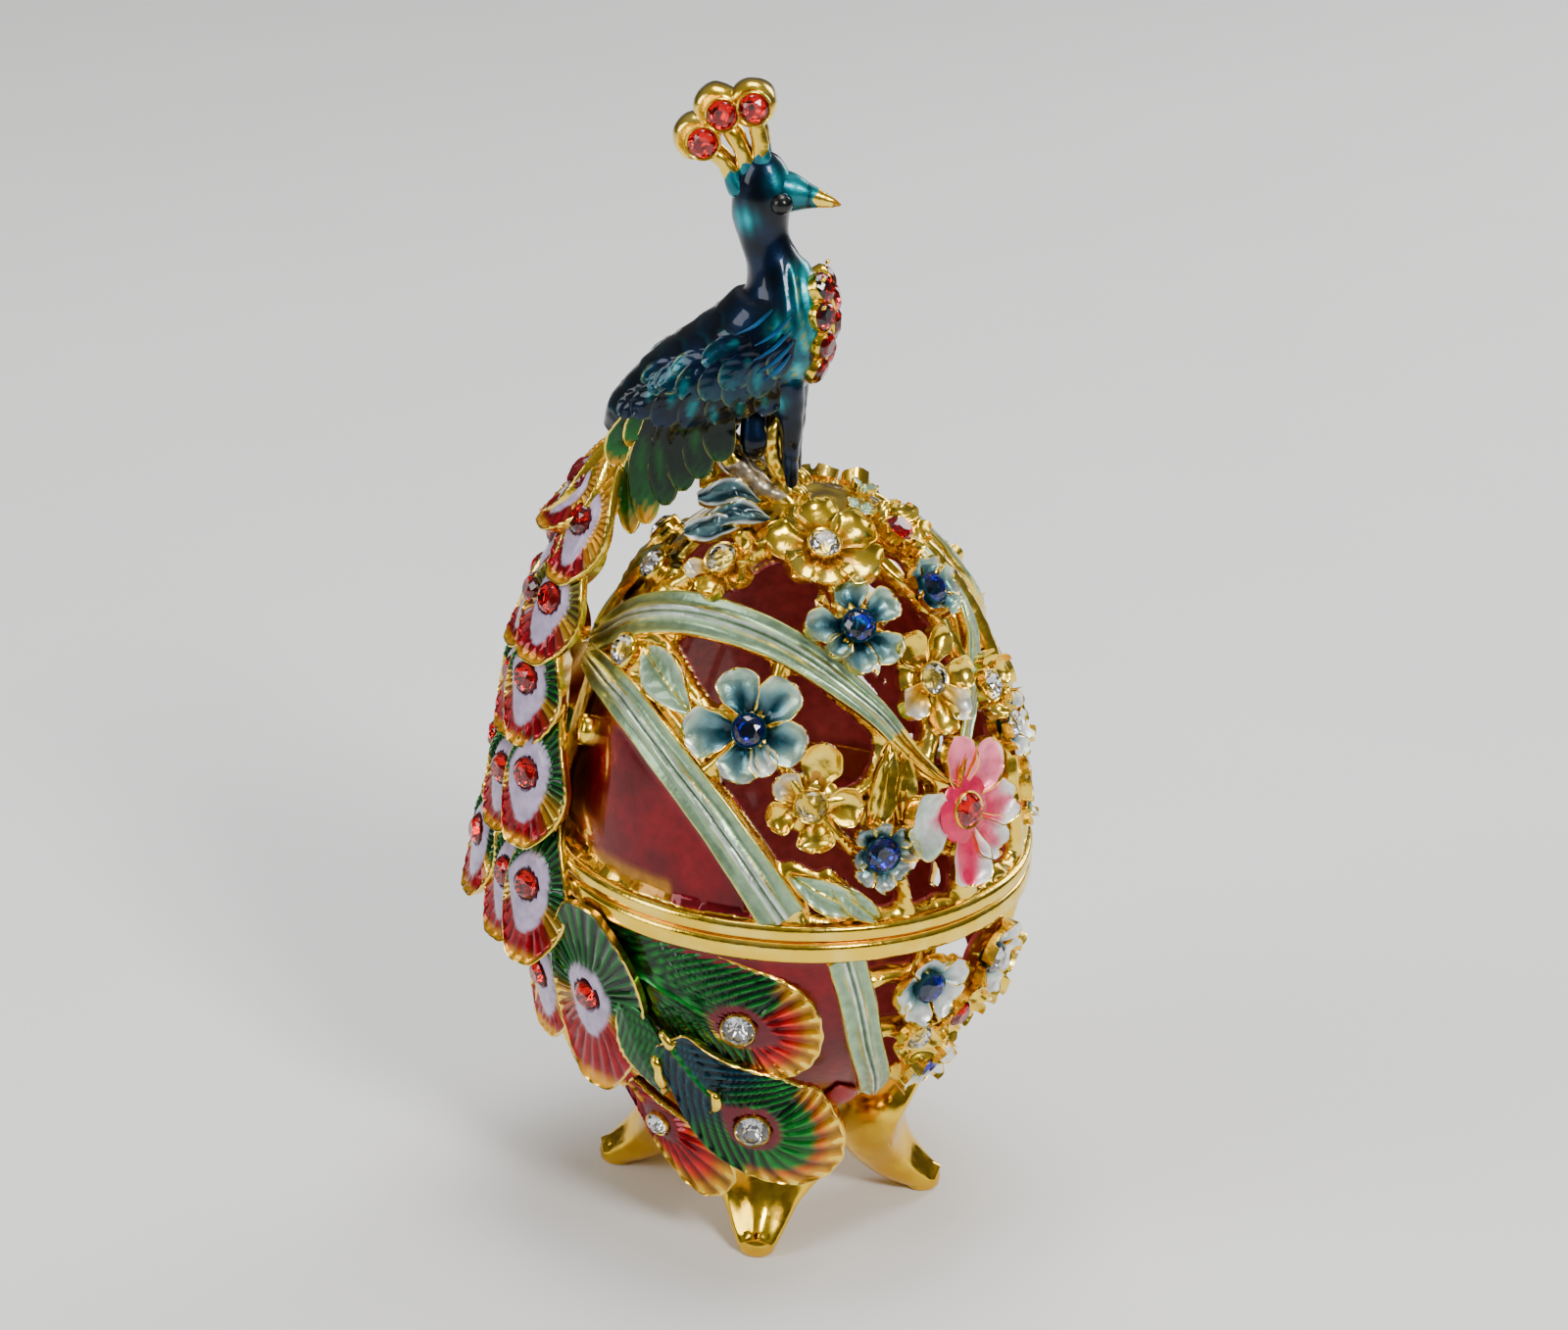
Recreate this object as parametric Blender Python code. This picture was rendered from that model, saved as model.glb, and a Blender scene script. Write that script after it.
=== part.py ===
"""Jewelled egg trinket box with a peacock on its lid, about 118 mm tall.

Lengths are in millimetres in the seam frame: the egg's axis is Z, z = 0 is the seam where
the lid meets the bowl, the bird looks along +X and its train falls down the -X side.
An azimuth is measured round the axis from +X, so -90 is the side that faces -Y.
An empty at the seam's centre carries every piece, so that the box stands on the ground.
"""

import math

import bpy
import bmesh
from mathutils import Matrix, Vector

MM = 0.001

# The egg: one ellipse for the lid, a shorter one for the bowl.
EGG_R = 23.6
LID_H = 37.6
BOWL_D = 29.4
WALL = 1.3
SEAM_Z = 39.5
AXIS_X = 4.2
CARRIER = "seam_centre"

# The two gold bands that meet at the seam, and the lip that keeps the lid in place.
BAND_R = 25.0
LID_BAND_H = 1.7
BOWL_BAND_H = 2.0
HALF_GAP = 0.15
LIP_R = 21.9
LIP_T = 0.8
LIP_H = 1.0

FLAT_DEG = 6
SEGMENTS = 24
LID_ROWS = 6
BOWL_ROWS = 5

# The four cabriole feet.
FOOT_R = 18.0
FOOT_PAD_R = 1.9

FEET = (("foot_right", -90), ("foot_front", 0), ("foot_left", 90), ("foot_back", 180))

# Separate castings lie this far apart.
FIT = 0.3

# Stones have a flat back and slanted sides round a smaller table. A flower's top is a seat
# this high above the shell, and a hanging feather lies this far behind its stone.
STONE_R = 1.55
STONE_H = 1.3
STONE_SIDES = 6
TABLE_SHARE = 0.55
SEAT_H = 0.9
EYE_H = 1.2

# Feathers are plates this thick. The fanned ones stand a little out from their middle line,
# and hold their stone at this share of their length.
FEATHER_T = 1.0
FAN_T = 0.3
FAN_EYE = 0.66
FEATHER_RINGS = (0, 0.25, 0.7, 1)
FAN_RINGS = (0, 0.2, 0.4, 0.6, 0.8, 1)

# Ribbons: (azimuth, height) down each centre line of the right side.
RIBBON_HIGH = [(-168, 21), (-154, 26.6), (-132, 29.2), (-113, 29.4), (-96, 28.6),
               (-82, 26.8), (-72, 24.6), (-63, 21.8), (-56, 18.5), (-49, 15.5), (-42, 13.4)]
RIBBON_LOW = [(-170, 19), (-154, 19.6), (-138, 18.9), (-120, 15.8), (-107, 12), (-97, 7.7),
              (-87, 2)]
RIBBON_FRONT = [(-18, 35), (-15, 31), (-13, 27.9), (-18, 25.2), (-27, 22), (-35, 18.6),
                (-42, 13.4)]
RIBBON_BOWL = [(-72, -2), (-68, -7), (-63, -13), (-56, -18), (-50, -21.5)]

# Windows are bounded by the ribbons and by these lines.
TOP_CAP_Z = 33.6
RIM_TOP_Z = 2.9
BOWL_WINDOW_TOP = -3.2
BOWL_WINDOW_FOOT = -19.6
FRONT_POST_AZ = -38

# Flowers: name, azimuth, height, radius, petals, turn in degrees, and stone colour.
RIGHT_FLOWERS = [
    ("crown_gold", -76, 35.2, 5.0, 5, 18, "clear"),
    ("side_gold", -128, 32.9, 4.2, 5, 50, "clear"),
    ("upper_teal", -66.6, 29.3, 4.9, 5, 80, "blue"),
    ("shoulder_gold", -43, 23.9, 4.6, 5, 60, "clear"),
    ("front_teal", -25, 30.6, 3.2, 5, 0, "blue"),
    ("top_gold", -16, 35.1, 3.2, 5, 30, "red"),
    ("breast_gold", -19, 19.8, 3.6, 5, 20, "clear"),
    ("breast_pearl", -9.5, 15.5, 3.4, 5, 50, "clear"),
    ("great_pink", -37.4, 10.4, 7.6, 5, 90, "red"),
    ("great_teal", -99.2, 20.0, 6.0, 6, 15, "blue"),
    ("window_gold", -81.6, 13.5, 4.8, 5, 88, "clear"),
    ("small_teal", -64, 8.6, 3.4, 6, 0, "blue"),
    ("bowl_teal", -49.2, -6.6, 4.2, 5, 30, "blue"),
    ("bowl_gold", -48, -12.8, 3.2, 5, 0, "clear"),
    ("bowl_red", -34.8, -11.7, 3.2, 5, 50, "red"),
    ("bowl_low", -35, -18.6, 3.4, 5, 20, "blue"),
    ("bowl_pearl", -24.4, -7.0, 4.0, 5, 60, "clear"),
]
MIDDLE_FLOWERS = [
    ("front_low", 0, 8.4, 4.8, 5, 90, "clear"),
    ("bowl_middle", 0, -12.5, 4.6, 5, 90, "red"),
]
LEFT_FLOWERS = ("crown_gold", "upper_teal", "shoulder_gold", "great_pink", "great_teal",
                  "window_gold", "bowl_teal", "bowl_red")

# Leaves that lie in the shell: (azimuth, height) of the stalk and of the tip, then width.
LEAVES = [
    ((-117, 21.8), (-140, 25.4), 4.6),
    ((-84, 6.6), (-64, 2.6), 3.6),
    ((-60, 18.4), (-66, 10.6), 3.6),
]

# Stems tie the flowers to the ribbons and the rim. Each is a path of (azimuth, height).
SHARED_STEMS = [
    [(-150, 24), (-116, 21.6), (-99.2, 20), (-81.6, 13.5), (-58, 2)],
    [(-99.2, 20), (-92, 28.2)],
    [(-99.2, 20), (-110, 13)],
    [(-81.6, 13.5), (-57, 18.8)],
    [(-37.4, 10.4), (FRONT_POST_AZ, 2)],
    [(-118, 29), (-104, 35)],
    [(-76, 35.2), (-66.6, 29.3), (-76, 25.8)],
    [(-66.6, 29.3), (-43, 23.9), (-25, 22.8)],
    [(-37.4, 10.4), (0, 8.4)],
    [(-70, -6), (-49.2, -6.6), (-34.8, -11.7), (0, -12.5)],
    [(-34.8, -11.7), (-38, -20.6)],
]
RIGHT_STEMS = [
    [(-64, 8.6), (-37.4, 10.4), (-42, 13.8)],
    [(-43, 23.9), (-50, 16)],
    [(-25, 30.6), (-16, 35.1)],
    [(-30, 20.6), (-19, 19.8), (-9.5, 15.5), (0, 15.5)],
    [(-34.8, -11.7), (-24.4, -7), (-22, -2)],
    [(-64, -12), (-48, -12.8), (-34.8, -11.7)],
]
MIDDLE_STEMS = [
    [(0, 28.5), (0, 8.4), (0, 2)],
    [(0, -2), (0, -12.5), (0, -20.2)],
]
STEM_R = 0.75

# Train feathers: name, stone (x, y, z), length, width, the azimuth that the face looks to,
# and how far the tip leans out from the egg, in degrees.
HANGING = [
    ("right_top", (-22.2, -5.2, 34.6), 13.0, 7.4, -142, 10),
    ("right_high", (-24.8, -7.0, 26.7), 13.5, 8.6, -136, 12),
    ("right_waist", (-26.7, -8.4, 18.5), 14.0, 9.2, -132, 5),
    ("right_low", (-26.0, -11.5, 9.6), 15.0, 10.4, -130, 7),
    ("right_seam", (-26.8, -13.2, -2.0), 16.0, 9.8, -132, 5),
    ("mid_top", (-23.2, -1.0, 37.4), 8.4, 5.6, -166, 8),
    ("mid_high", (-27.2, -3.2, 25.7), 12.5, 8.2, -160, 8),
    ("mid_waist", (-29.8, -3.0, 13.6), 13.0, 8.6, -160, 5),
    ("mid_low", (-29.3, -4.4, 6.0), 13.0, 8.8, -155, 4),
    ("mid_seam", (-28.8, -6.4, -4.2), 15.0, 9.4, -152, 5),
]
HANGING_MIDDLE = [
    ("middle_high", (-25.2, 0.0, 31.5), 13.0, 8.0, 180, 12),
    ("middle_waist", (-28.4, 0.0, 20.0), 13.0, 8.6, 180, 6),
    ("middle_low", (-30.4, 0.0, 9.0), 13.5, 8.8, 180, 5),
    ("middle_seam", (-32.6, 0.0, -2.1), 14.0, 9.4, 180, 6),
]
# Cores that the feathers grow from: (height, inner radius, outer radius, half width).
UPPER_CORE = [(39, 19.6, 21.6, 2.8), (34, 21.0, 23.0, 4.2), (26, 23.0, 25.4, 6.4),
              (16, 24.4, 27.0, 9.0), (6, 26.0, 28.4, 11.0), (-2, 26.6, 28.6, 10.6)]
LOWER_CORE = [(-4.4, 24.1, 25.8, 12.0), (-9, 23.2, 25.4, 12.0), (-14, 21.4, 24.4, 11.0),
              (-19, 18.8, 22.4, 9.0)]
LOWER_HANGING = [
    ("great_eye", (-20.2, -15.0, -13.4), 15.6, 11.5, -128, -12),
    ("lower_mid", (-25.2, -6.4, -15.2), 14.0, 10.6, -152, -13),
    ("lower_tuck", (-21.4, -8.0, -22.4), 12.0, 9.0, -140, -32),
]
LOWER_MIDDLE = [
    ("lower_middle", (-26.4, 0.0, -14.6), 15.0, 10.0, 180, -10),
    ("lower_tip", (-23.4, 0.0, -22.6), 12.0, 9.0, 180, -30),
]

# Feathers fanned sideways round the bowl: name, root and tip as (azimuth, radius, height),
# width, and how far the face looks down, in degrees.
FANNED = [
    ("fan_high", (-148, 24.3, -7.0), (-76, 22.8, -13.8), 11.0, 8),
    ("fan_low", (-124, 20.6, -17.0), (-65, 19.2, -26.0), 12.0, 6),
]

# The bird: centre (x, z), half depth in the side view, half width, and axis direction.
BIRD_RINGS = [
    ((-19.4, 42.3), 1.6, 2.2, (0.6, 0.8)),
    ((-17.6, 43.6), 3.4, 3.8, (0.66, 0.75)),
    ((-13.4, 46.7), 5.1, 5.2, (0.78, 0.62)),
    ((-9.4, 49.2), 5.9, 5.8, (0.82, 0.57)),
    ((-5.6, 51.8), 6.2, 5.6, (0.70, 0.71)),
    ((-3.7, 55.4), 5.2, 4.7, (0.40, 0.92)),
    ((-3.6, 58.0), 4.0, 3.6, (-0.1, 1.0)),
    ((-4.8, 60.4), 2.6, 2.6, (-0.35, 0.94)),
    ((-5.7, 62.6), 2.3, 2.2, (-0.3, 0.95)),
    ((-6.2, 65.2), 2.8, 2.5, (-0.1, 1.0)),
    ((-5.9, 67.8), 3.0, 2.5, (0.0, 1.0)),
    ((-6.7, 70.2), 1.9, 1.6, (-0.3, 0.95)),
]
BIRD_SIDES = 10
BEAK = [((-5.4, 67.4), 2.2, 2.0), ((-2.8, 67.3), 1.7, 1.5), ((-0.6, 67.0), 0.9, 0.8),
        ((1.4, 66.5), 0.25, 0.25)]
CREST_ROOT = (-7.2, 70.4)
CREST_KNOBS = [((-7.3, 76.0), 2.4), ((-10.6, 74.8), 2.5), ((-12.5, 71.9), 2.4)]
CREST_T = 1.6
WING_ROOT, WING_TIP = (-2.6, 50.2), (-19.0, 41.6)
WING_W, WING_OUT = 9.4, 5.0
COVERTS = [((-9.6, 44.0), (-11.2, 38.0)), ((-12.2, 44.5), (-14.0, 34.4)),
           ((-14.8, 44.5), (-16.9, 33.2))]
LEG_TOP, LEG_FOOT = (-2.2, 48.0), (-1.6, 38.3)
BRANCH = [(-7.6, 43.0), (-6.6, 40.0), (-4.6, 38.4)]


def clear_scene():
    for old in list(bpy.data.objects):
        bpy.data.objects.remove(old)


def material(name, colour, roughness, metallic):
    made = bpy.data.materials.new(name)
    made.use_nodes = True
    shader = made.node_tree.nodes["Principled BSDF"]
    shader.inputs["Base Color"].default_value = (*colour, 1)
    shader.inputs["Roughness"].default_value = roughness
    shader.inputs["Metallic"].default_value = metallic
    return made


def egg_height(z):
    """The vertical half axis of the ellipse that holds height z."""
    return LID_H if z >= 0 else BOWL_D


def egg_radius(z):
    return EGG_R * math.sqrt(max(0.0, 1 - (z / egg_height(z)) ** 2))


def on_shell(azimuth, z):
    """The point of the egg's outer surface at this azimuth in degrees and height."""
    a, r = math.radians(azimuth), egg_radius(z)
    return Vector((r * math.cos(a), r * math.sin(a), z))


def shell_normal(point):
    h = egg_height(point.z)
    return Vector((point.x / EGG_R**2, point.y / EGG_R**2, point.z / h**2)).normalized()


def settle(point, lift=0.0):
    """Moves a nearby point along the ray from the centre onto the shell, then lifts it."""
    h = egg_height(point.z)
    reach = math.sqrt((point.x**2 + point.y**2) / EGG_R**2 + (point.z / h) ** 2)
    landed = point / reach
    return landed + shell_normal(landed) * lift


def smooth_path(points, count):
    """A Catmull-Rom curve through the points, read at count places."""
    ends = [points[0] * 2 - points[1], *points, points[-1] * 2 - points[-2]]
    out = []
    for i in range(count):
        place = i / (count - 1) * (len(points) - 1)
        k = min(int(place), len(points) - 2)
        t = place - k
        a, b, c, d = ends[k : k + 4]
        out.append(0.5 * (2 * b + (c - a) * t + (2 * a - 5 * b + 4 * c - d) * t**2
                          + (3 * b - a - 3 * c + d) * t**3))
    return out


def shell_path(pairs, count):
    return [settle(p) for p in smooth_path([on_shell(*pair) for pair in pairs], count)]


def mesh_object(name, points, faces):
    """A mesh object from points in millimetres, with its faces turned outwards."""
    mesh = bpy.data.meshes.new(name)
    mesh.from_pydata([p * MM for p in points], [], faces)
    work = bmesh.new()
    work.from_mesh(mesh)
    bmesh.ops.recalc_face_normals(work, faces=work.faces)
    if work.calc_volume(signed=True) < 0:
        bmesh.ops.reverse_faces(work, faces=work.faces)
    work.to_mesh(mesh)
    work.free()
    mesh.shade_smooth()
    mesh.set_sharp_from_angle(angle=math.radians(35))
    made = bpy.data.objects.new(name, mesh)
    made.parent = bpy.data.objects[CARRIER]
    bpy.context.scene.collection.objects.link(made)
    return made


def loft(name, rings):
    """A closed tube through rings of the same number of points, with flat ends."""
    n = len(rings[0])
    points = [p for ring in rings for p in ring]
    faces = [(k * n + i, k * n + (i + 1) % n, (k + 1) * n + (i + 1) % n, (k + 1) * n + i)
             for k in range(len(rings) - 1) for i in range(n)]
    faces += [tuple(range(n)), tuple(range(len(points) - n, len(points)))]
    return mesh_object(name, points, faces)


def turned(name, profile, sides):
    """Turns an (r, z) profile whose two ends lie on the axis into a closed solid."""
    points, rows, faces = [], [], []
    for r, z in profile:
        count = sides if r > 0 else 1
        rows.append(range(len(points), len(points) + count))
        for i in range(count):
            a = 2 * math.pi * i / sides
            points.append(Vector((r * math.cos(a), r * math.sin(a), z)))
    for low, high in zip(rows, rows[1:]):
        for i in range(sides):
            j = (i + 1) % sides
            quad = (low[i % len(low)], low[j % len(low)], high[j % len(high)],
                    high[i % len(high)])
            faces.append(tuple(dict.fromkeys(quad)))
    return mesh_object(name, points, faces)


def strip(name, path, ups, half_widths, above, below, crown):
    """A bar along a path. A crown above zero gives its top a ridge down the middle."""
    rings = []
    for i, (p, up, w) in enumerate(zip(path, ups, half_widths)):
        ahead = path[min(i + 1, len(path) - 1)] - path[max(i - 1, 0)]
        side = ahead.cross(up).normalized()
        ridge = [p + up * (above + crown * w)] if crown else []
        rings.append([p - side * w + up * above, *ridge, p + side * w + up * above,
                      p + side * w * 0.9 - up * below, p - side * w * 0.9 - up * below])
    return loft(name, rings)


def shell_strip(name, pairs, count, half_width, above, below, crown=0.0, lift=(0.0, 0.0)):
    """A bar that follows the shell, lifted off it by the two amounts at its ends."""
    path = shell_path(pairs, count)
    ups = [shell_normal(p) for p in path]
    shares = [i / (count - 1) for i in range(count)]
    raised = [p + up * (lift[0] + (lift[1] - lift[0]) * t)
              for p, up, t in zip(path, ups, shares)]
    return strip(name, raised, ups, [half_width(t) for t in shares], above, below, crown)


def leaf_width(width):
    """Half width of a leaf along its length: narrow stalk, full belly, rounded tip."""
    return lambda t: max(0.35, width / 2 * math.sin(math.pi * (0.06 + 0.88 * t) ** 1.35) ** 0.75)


def helpers(name, pieces, obj, operation):
    """Cuts the pieces from obj, or joins them to it, by one exact Boolean."""
    held = bpy.data.collections.new(name)
    bpy.context.scene.collection.children.link(held)
    for piece in pieces:
        bpy.context.scene.collection.objects.unlink(piece)
        held.objects.link(piece)
        piece.hide_render = True
        piece.display_type = "WIRE"
    modifier = obj.modifiers.new(name, "BOOLEAN")
    modifier.operation = operation
    modifier.operand_type = "COLLECTION"
    modifier.collection = held
    modifier.solver = "EXACT"
    modifier.use_self = operation == "UNION"


def arc_rows(rows, top_z, height, inset):
    """(r, z) down the egg from its pole to top_z, on the surface inset by a wall."""
    low = math.asin(top_z / height)
    out = []
    for i in range(rows + 1):
        a = math.pi / 2 + (low - math.pi / 2) * i / rows
        out.append((max(0.0, (EGG_R - inset) * math.cos(a)), (height - inset) * math.sin(a)))
    out[0] = (0.0, out[0][1])
    return out


def lid_shell():
    outer = arc_rows(LID_ROWS, RIM_TOP_Z, LID_H, 0)
    inner = arc_rows(LID_ROWS, RIM_TOP_Z, LID_H, WALL)
    band = [(BAND_R - 0.8, LID_BAND_H + 0.5), (BAND_R, LID_BAND_H), (BAND_R, HALF_GAP),
            (EGG_R - WALL, HALF_GAP)]
    return turned("lid", [*outer, *band, *reversed(inner)], SEGMENTS)


def bowl_shell():
    outer = [(r, -z) for r, z in arc_rows(BOWL_ROWS, RIM_TOP_Z, BOWL_D, 0)]
    inner = [(r, -z) for r, z in arc_rows(BOWL_ROWS, RIM_TOP_Z + 1, BOWL_D, WALL)]
    band = [(BAND_R - 1.0, -BOWL_BAND_H - 0.5), (BAND_R, -BOWL_BAND_H), (BAND_R, -HALF_GAP),
            (LIP_R, -HALF_GAP), (LIP_R, LIP_H), (LIP_R - LIP_T, LIP_H),
            (LIP_R - LIP_T, -RIM_TOP_Z)]
    return turned("bowl", [*outer, *band, *reversed(inner)], SEGMENTS)


def mirror_pairs(pairs):
    return [(-azimuth, z) for azimuth, z in pairs]


def height_at(line, azimuth):
    """The height of a line of (azimuth, height) pairs at one azimuth."""
    line = sorted(line)
    for (a, low), (b, high) in zip(line, line[1:]):
        if azimuth <= b:
            share = min(1.0, max(0.0, (azimuth - a) / (b - a)))
            return low + (high - low) * share
    return line[-1][1]


def window(name, start, end, sill, brow):
    """A cutter that pierces the shell between two lines, from one azimuth to another."""
    count = max(2, round((end - start) / 13))
    rings = []
    for i in range(count + 1):
        azimuth = start + (end - start) * i / count
        low, high = height_at(sill, azimuth), height_at(brow, azimuth)
        line = [on_shell(azimuth, low + (high - low) * share) for share in (0, 0.5, 1)]
        rings.append([p * 0.6 for p in line] + [p * 1.6 for p in reversed(line)])
    return loft(name, rings)


def both_sides(name, start, end, sill, brow):
    return [window(name, start, end, sill, brow),
            window(name + "_left", -end, -start, mirror_pairs(sill), mirror_pairs(brow))]


def lid_windows():
    floor = [(-180, RIM_TOP_Z), (180, RIM_TOP_Z)]
    cap = [(-180, TOP_CAP_Z), (180, TOP_CAP_Z)]
    low_line = [*RIBBON_LOW[:-1], (-88, RIM_TOP_Z), (0, RIM_TOP_Z)]
    front_line = RIBBON_FRONT[2:]
    arch = [*front_line, (0, 29.5), *mirror_pairs(front_line)]
    return [*both_sides("lower_window", -152, FRONT_POST_AZ - 3, low_line, RIBBON_HIGH),
            *both_sides("upper_window", -147, -15, [*RIBBON_HIGH[:-1], *front_line], cap),
            window("front_window", FRONT_POST_AZ + 3, -FRONT_POST_AZ - 3, floor, arch)]


def bowl_windows():
    top = [(-180, BOWL_WINDOW_TOP), (180, BOWL_WINDOW_TOP)]
    bottom = [*RIBBON_BOWL[1:], (50, BOWL_WINDOW_FOOT), *mirror_pairs(RIBBON_BOWL[1:-1])]
    return [window("bowl_window", -67, 67, bottom, top)]


def rosette(name, azimuth, z, radius, petals, turn):
    """A flower that grows from the shell's wall, with a flat top for its stone."""
    centre = on_shell(azimuth, z)
    up = shell_normal(centre)
    east = Vector((0, 0, 1)).cross(up).normalized()
    north = up.cross(east)
    outline = []
    for k in range(petals):
        for part, reach in ((0.0, 1.0), (0.5, 0.62)):
            a = math.radians(turn) + 2 * math.pi * (k + part) / petals
            outline.append((east * math.cos(a) + north * math.sin(a)) * radius * reach)
    rings = [[settle(centre + p, -WALL) for p in outline],
             [centre + p + up * SEAT_H for p in outline]]
    return loft(name, rings)


def stone(name, point, up, paint):
    """A flat-backed stone with its table outwards."""
    across = up.orthogonal().normalized()
    over = up.cross(across)
    rings = []
    for share, lift in ((1.0, 0.0), (TABLE_SHARE, STONE_H)):
        turns = [2 * math.pi * i / STONE_SIDES for i in range(STONE_SIDES)]
        rings.append([point + up * lift + (across * math.cos(a) + over * math.sin(a))
                      * STONE_R * share for a in turns])
    made = loft(name, rings)
    made.data.materials.append(paint)
    return made


def flowers():
    """(name, azimuth, height, radius, petals, turn, colour) of every flower."""
    left = [(n + "_left", -az, z, r, p, 180 - turn, colour)
            for n, az, z, r, p, turn, colour in RIGHT_FLOWERS if n in LEFT_FLOWERS]
    return [*RIGHT_FLOWERS, *MIDDLE_FLOWERS, *left]


def openwork(on_lid):
    """Ribbons, flowers, leaves and stems of the lid, or of the bowl."""
    pieces = []
    ribbons = [RIBBON_HIGH, RIBBON_LOW, RIBBON_FRONT] if on_lid else [RIBBON_BOWL]
    widths = [(2.3, 1.0), (2.1, 2.1), (1.1, 0.9)] if on_lid else [(1.5, 1.3)]
    for k, (pairs, (first, last)) in enumerate(zip(ribbons, widths)):
        for side in (pairs, mirror_pairs(pairs)):
            pieces.append(shell_strip(f"ribbon_{k}", side, max(5, len(pairs) - 2),
                                      lambda t: first + (last - first) * t, 0.6, 1.0))
    for name, azimuth, z, radius, petals, turn, _ in flowers():
        if (z > 0) == on_lid:
            pieces.append(rosette(name, azimuth, z, radius, petals, turn))
    if on_lid:
        for stalk, tip, width in LEAVES:
            pieces.append(shell_strip("leaf", [stalk, tip], 5, leaf_width(width), 0.6, 0.8))
    left = [mirror_pairs(pairs) for pairs in SHARED_STEMS]
    for pairs in [*SHARED_STEMS, *left, *RIGHT_STEMS, *MIDDLE_STEMS]:
        if (pairs[0][1] + pairs[-1][1] > 0) == on_lid:
            pieces.append(shell_strip("stem", pairs, 2 * len(pairs) - 1, lambda t: STEM_R,
                                      0.4, 0.95))
    return pieces


def foot(name, azimuth):
    """A cabriole foot: broad where it leaves the bowl, turned out to a flat pad."""
    ground = -SEAM_Z
    spine = [(15.9, -21.8), (14.8, -24.6), (13.3, -28.2), (12.7, -31.6), (14.0, -34.8),
             (16.2, ground + 2.0), (FOOT_R - 0.6, ground + 1.2)]
    widths = [4.6, 6.4, 6.8, 5.0, 3.2, 2.2, 1.7]
    inward = [2.4, 3.8, 4.4, 3.6, 2.4, 1.3, 0.9]
    a = math.radians(azimuth)
    out, side = Vector((math.cos(a), math.sin(a), 0)), Vector((-math.sin(a), math.cos(a), 0))
    rings = []
    for i, ((r, z), w, thick) in enumerate(zip(spine, widths, inward)):
        before, after = spine[max(i - 1, 0)], spine[min(i + 1, len(spine) - 1)]
        along = (out * (after[0] - before[0]) + Vector((0, 0, after[1] - before[1]))).normalized()
        face = along.cross(side).normalized()
        p = out * r + Vector((0, 0, z))
        rings.append([p - side * w - face * 0.6, p - side * w * 0.45 + face * 1.0,
                      p + side * w * 0.45 + face * 1.0, p + side * w - face * 0.6,
                      p + side * w * 0.5 - face * thick, p - side * w * 0.5 - face * thick])
    made = loft(name, rings)
    helpers(name + "_pad", [foot_pad(out)], made, "UNION")
    clear = [(r, z) for r, z in [(0.0, BOWL_D + FIT), *arc_rows(8, 0, BOWL_D + FIT, -FIT)[1:]]]
    whole = turned("bowl_clearance", [(r, -z) for r, z in clear] + [(0.0, 0.0)], SEGMENTS)
    helpers(name + "_cut", [whole], made, "DIFFERENCE")
    return made


def foot_pad(out):
    """The flat pad under a toe, which the box stands on."""
    centre = out * (FOOT_R - FOOT_PAD_R)
    rings = []
    for z, share in ((0, 1.0), (1.1, 1.1), (2.4, 0.8)):
        rings.append([centre + Vector((math.cos(t), math.sin(t), 0)) * FOOT_PAD_R * share
                      + Vector((0, 0, z - SEAM_Z)) for t in
                      [math.radians(45 * i) for i in range(8)]])
    return loft("foot_pad", rings)


def hang(facing, lean):
    """The way down a hanging feather, and the way its face looks."""
    a, tilt = math.radians(facing), math.radians(lean)
    out = Vector((math.cos(a), math.sin(a), 0))
    along = out * math.sin(tilt) - Vector((0, 0, math.cos(tilt)))
    return along, out * math.cos(tilt) + Vector((0, 0, math.sin(tilt)))


def feather(name, eye, length, width, facing, lean):
    """A thin curved leaf that hangs tip down, a little behind the stone of its eye."""
    along, up = hang(facing, lean)
    shape = leaf_width(width)
    middle = Vector(eye) - up * (EYE_H + FIT)
    path = [middle + along * length * (t - 0.5) - up * 0.9 * (2 * t - 1) ** 2
            for t in FEATHER_RINGS]
    depth = FEATHER_T if abs(facing) < 180 else 2 * FEATHER_T
    return strip(name, path, [up] * len(path), [shape(t) for t in FEATHER_RINGS], 0.3, depth, 0.0)


def fan_place(root, tip, tilt, share):
    """A point along a feather that lies round the bowl, and the way its face looks."""
    azimuth, radius, z = (a + (b - a) * share for a, b in zip(root, tip))
    a, down = math.radians(azimuth), math.radians(tilt)
    out = Vector((math.cos(a), math.sin(a), 0))
    up = out * math.cos(down) - Vector((0, 0, math.sin(down)))
    return out * radius + Vector((0, 0, z)), up


def fanned(name, root, tip, width, tilt):
    """A train feather that lies sideways round the bowl."""
    shape = leaf_width(width)
    path, ups = zip(*[fan_place(root, tip, tilt, t) for t in FAN_RINGS])
    return strip(name, path, ups, [shape(t) for t in FAN_RINGS], FAN_T, FEATHER_T, 0.0)


def feathers(pairs, middle):
    """The feathers of both sides, and those on the middle line."""
    made = [feather(*given) for given in [*pairs, *middle]]
    for name, (x, y, z), length, width, facing, lean in pairs:
        made.append(feather(name + "_left", (x, -y, z), length, width, -facing, lean))
    return made


def train_core(name, rows):
    """The core behind hanging feathers, bent round the egg's axis."""
    rings = []
    for z, inner, outer, half in rows:
        places = [(inner, -1), (inner, -0.5), (inner, 0), (inner, 0.5), (inner, 1),
                  (outer, 0.9), (outer, 0), (outer, -0.9)]
        angles = [(r, math.pi + share * half / outer) for r, share in places]
        rings.append([Vector((r * math.cos(a), r * math.sin(a), z)) for r, a in angles])
    return loft(name, rings)


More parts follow.
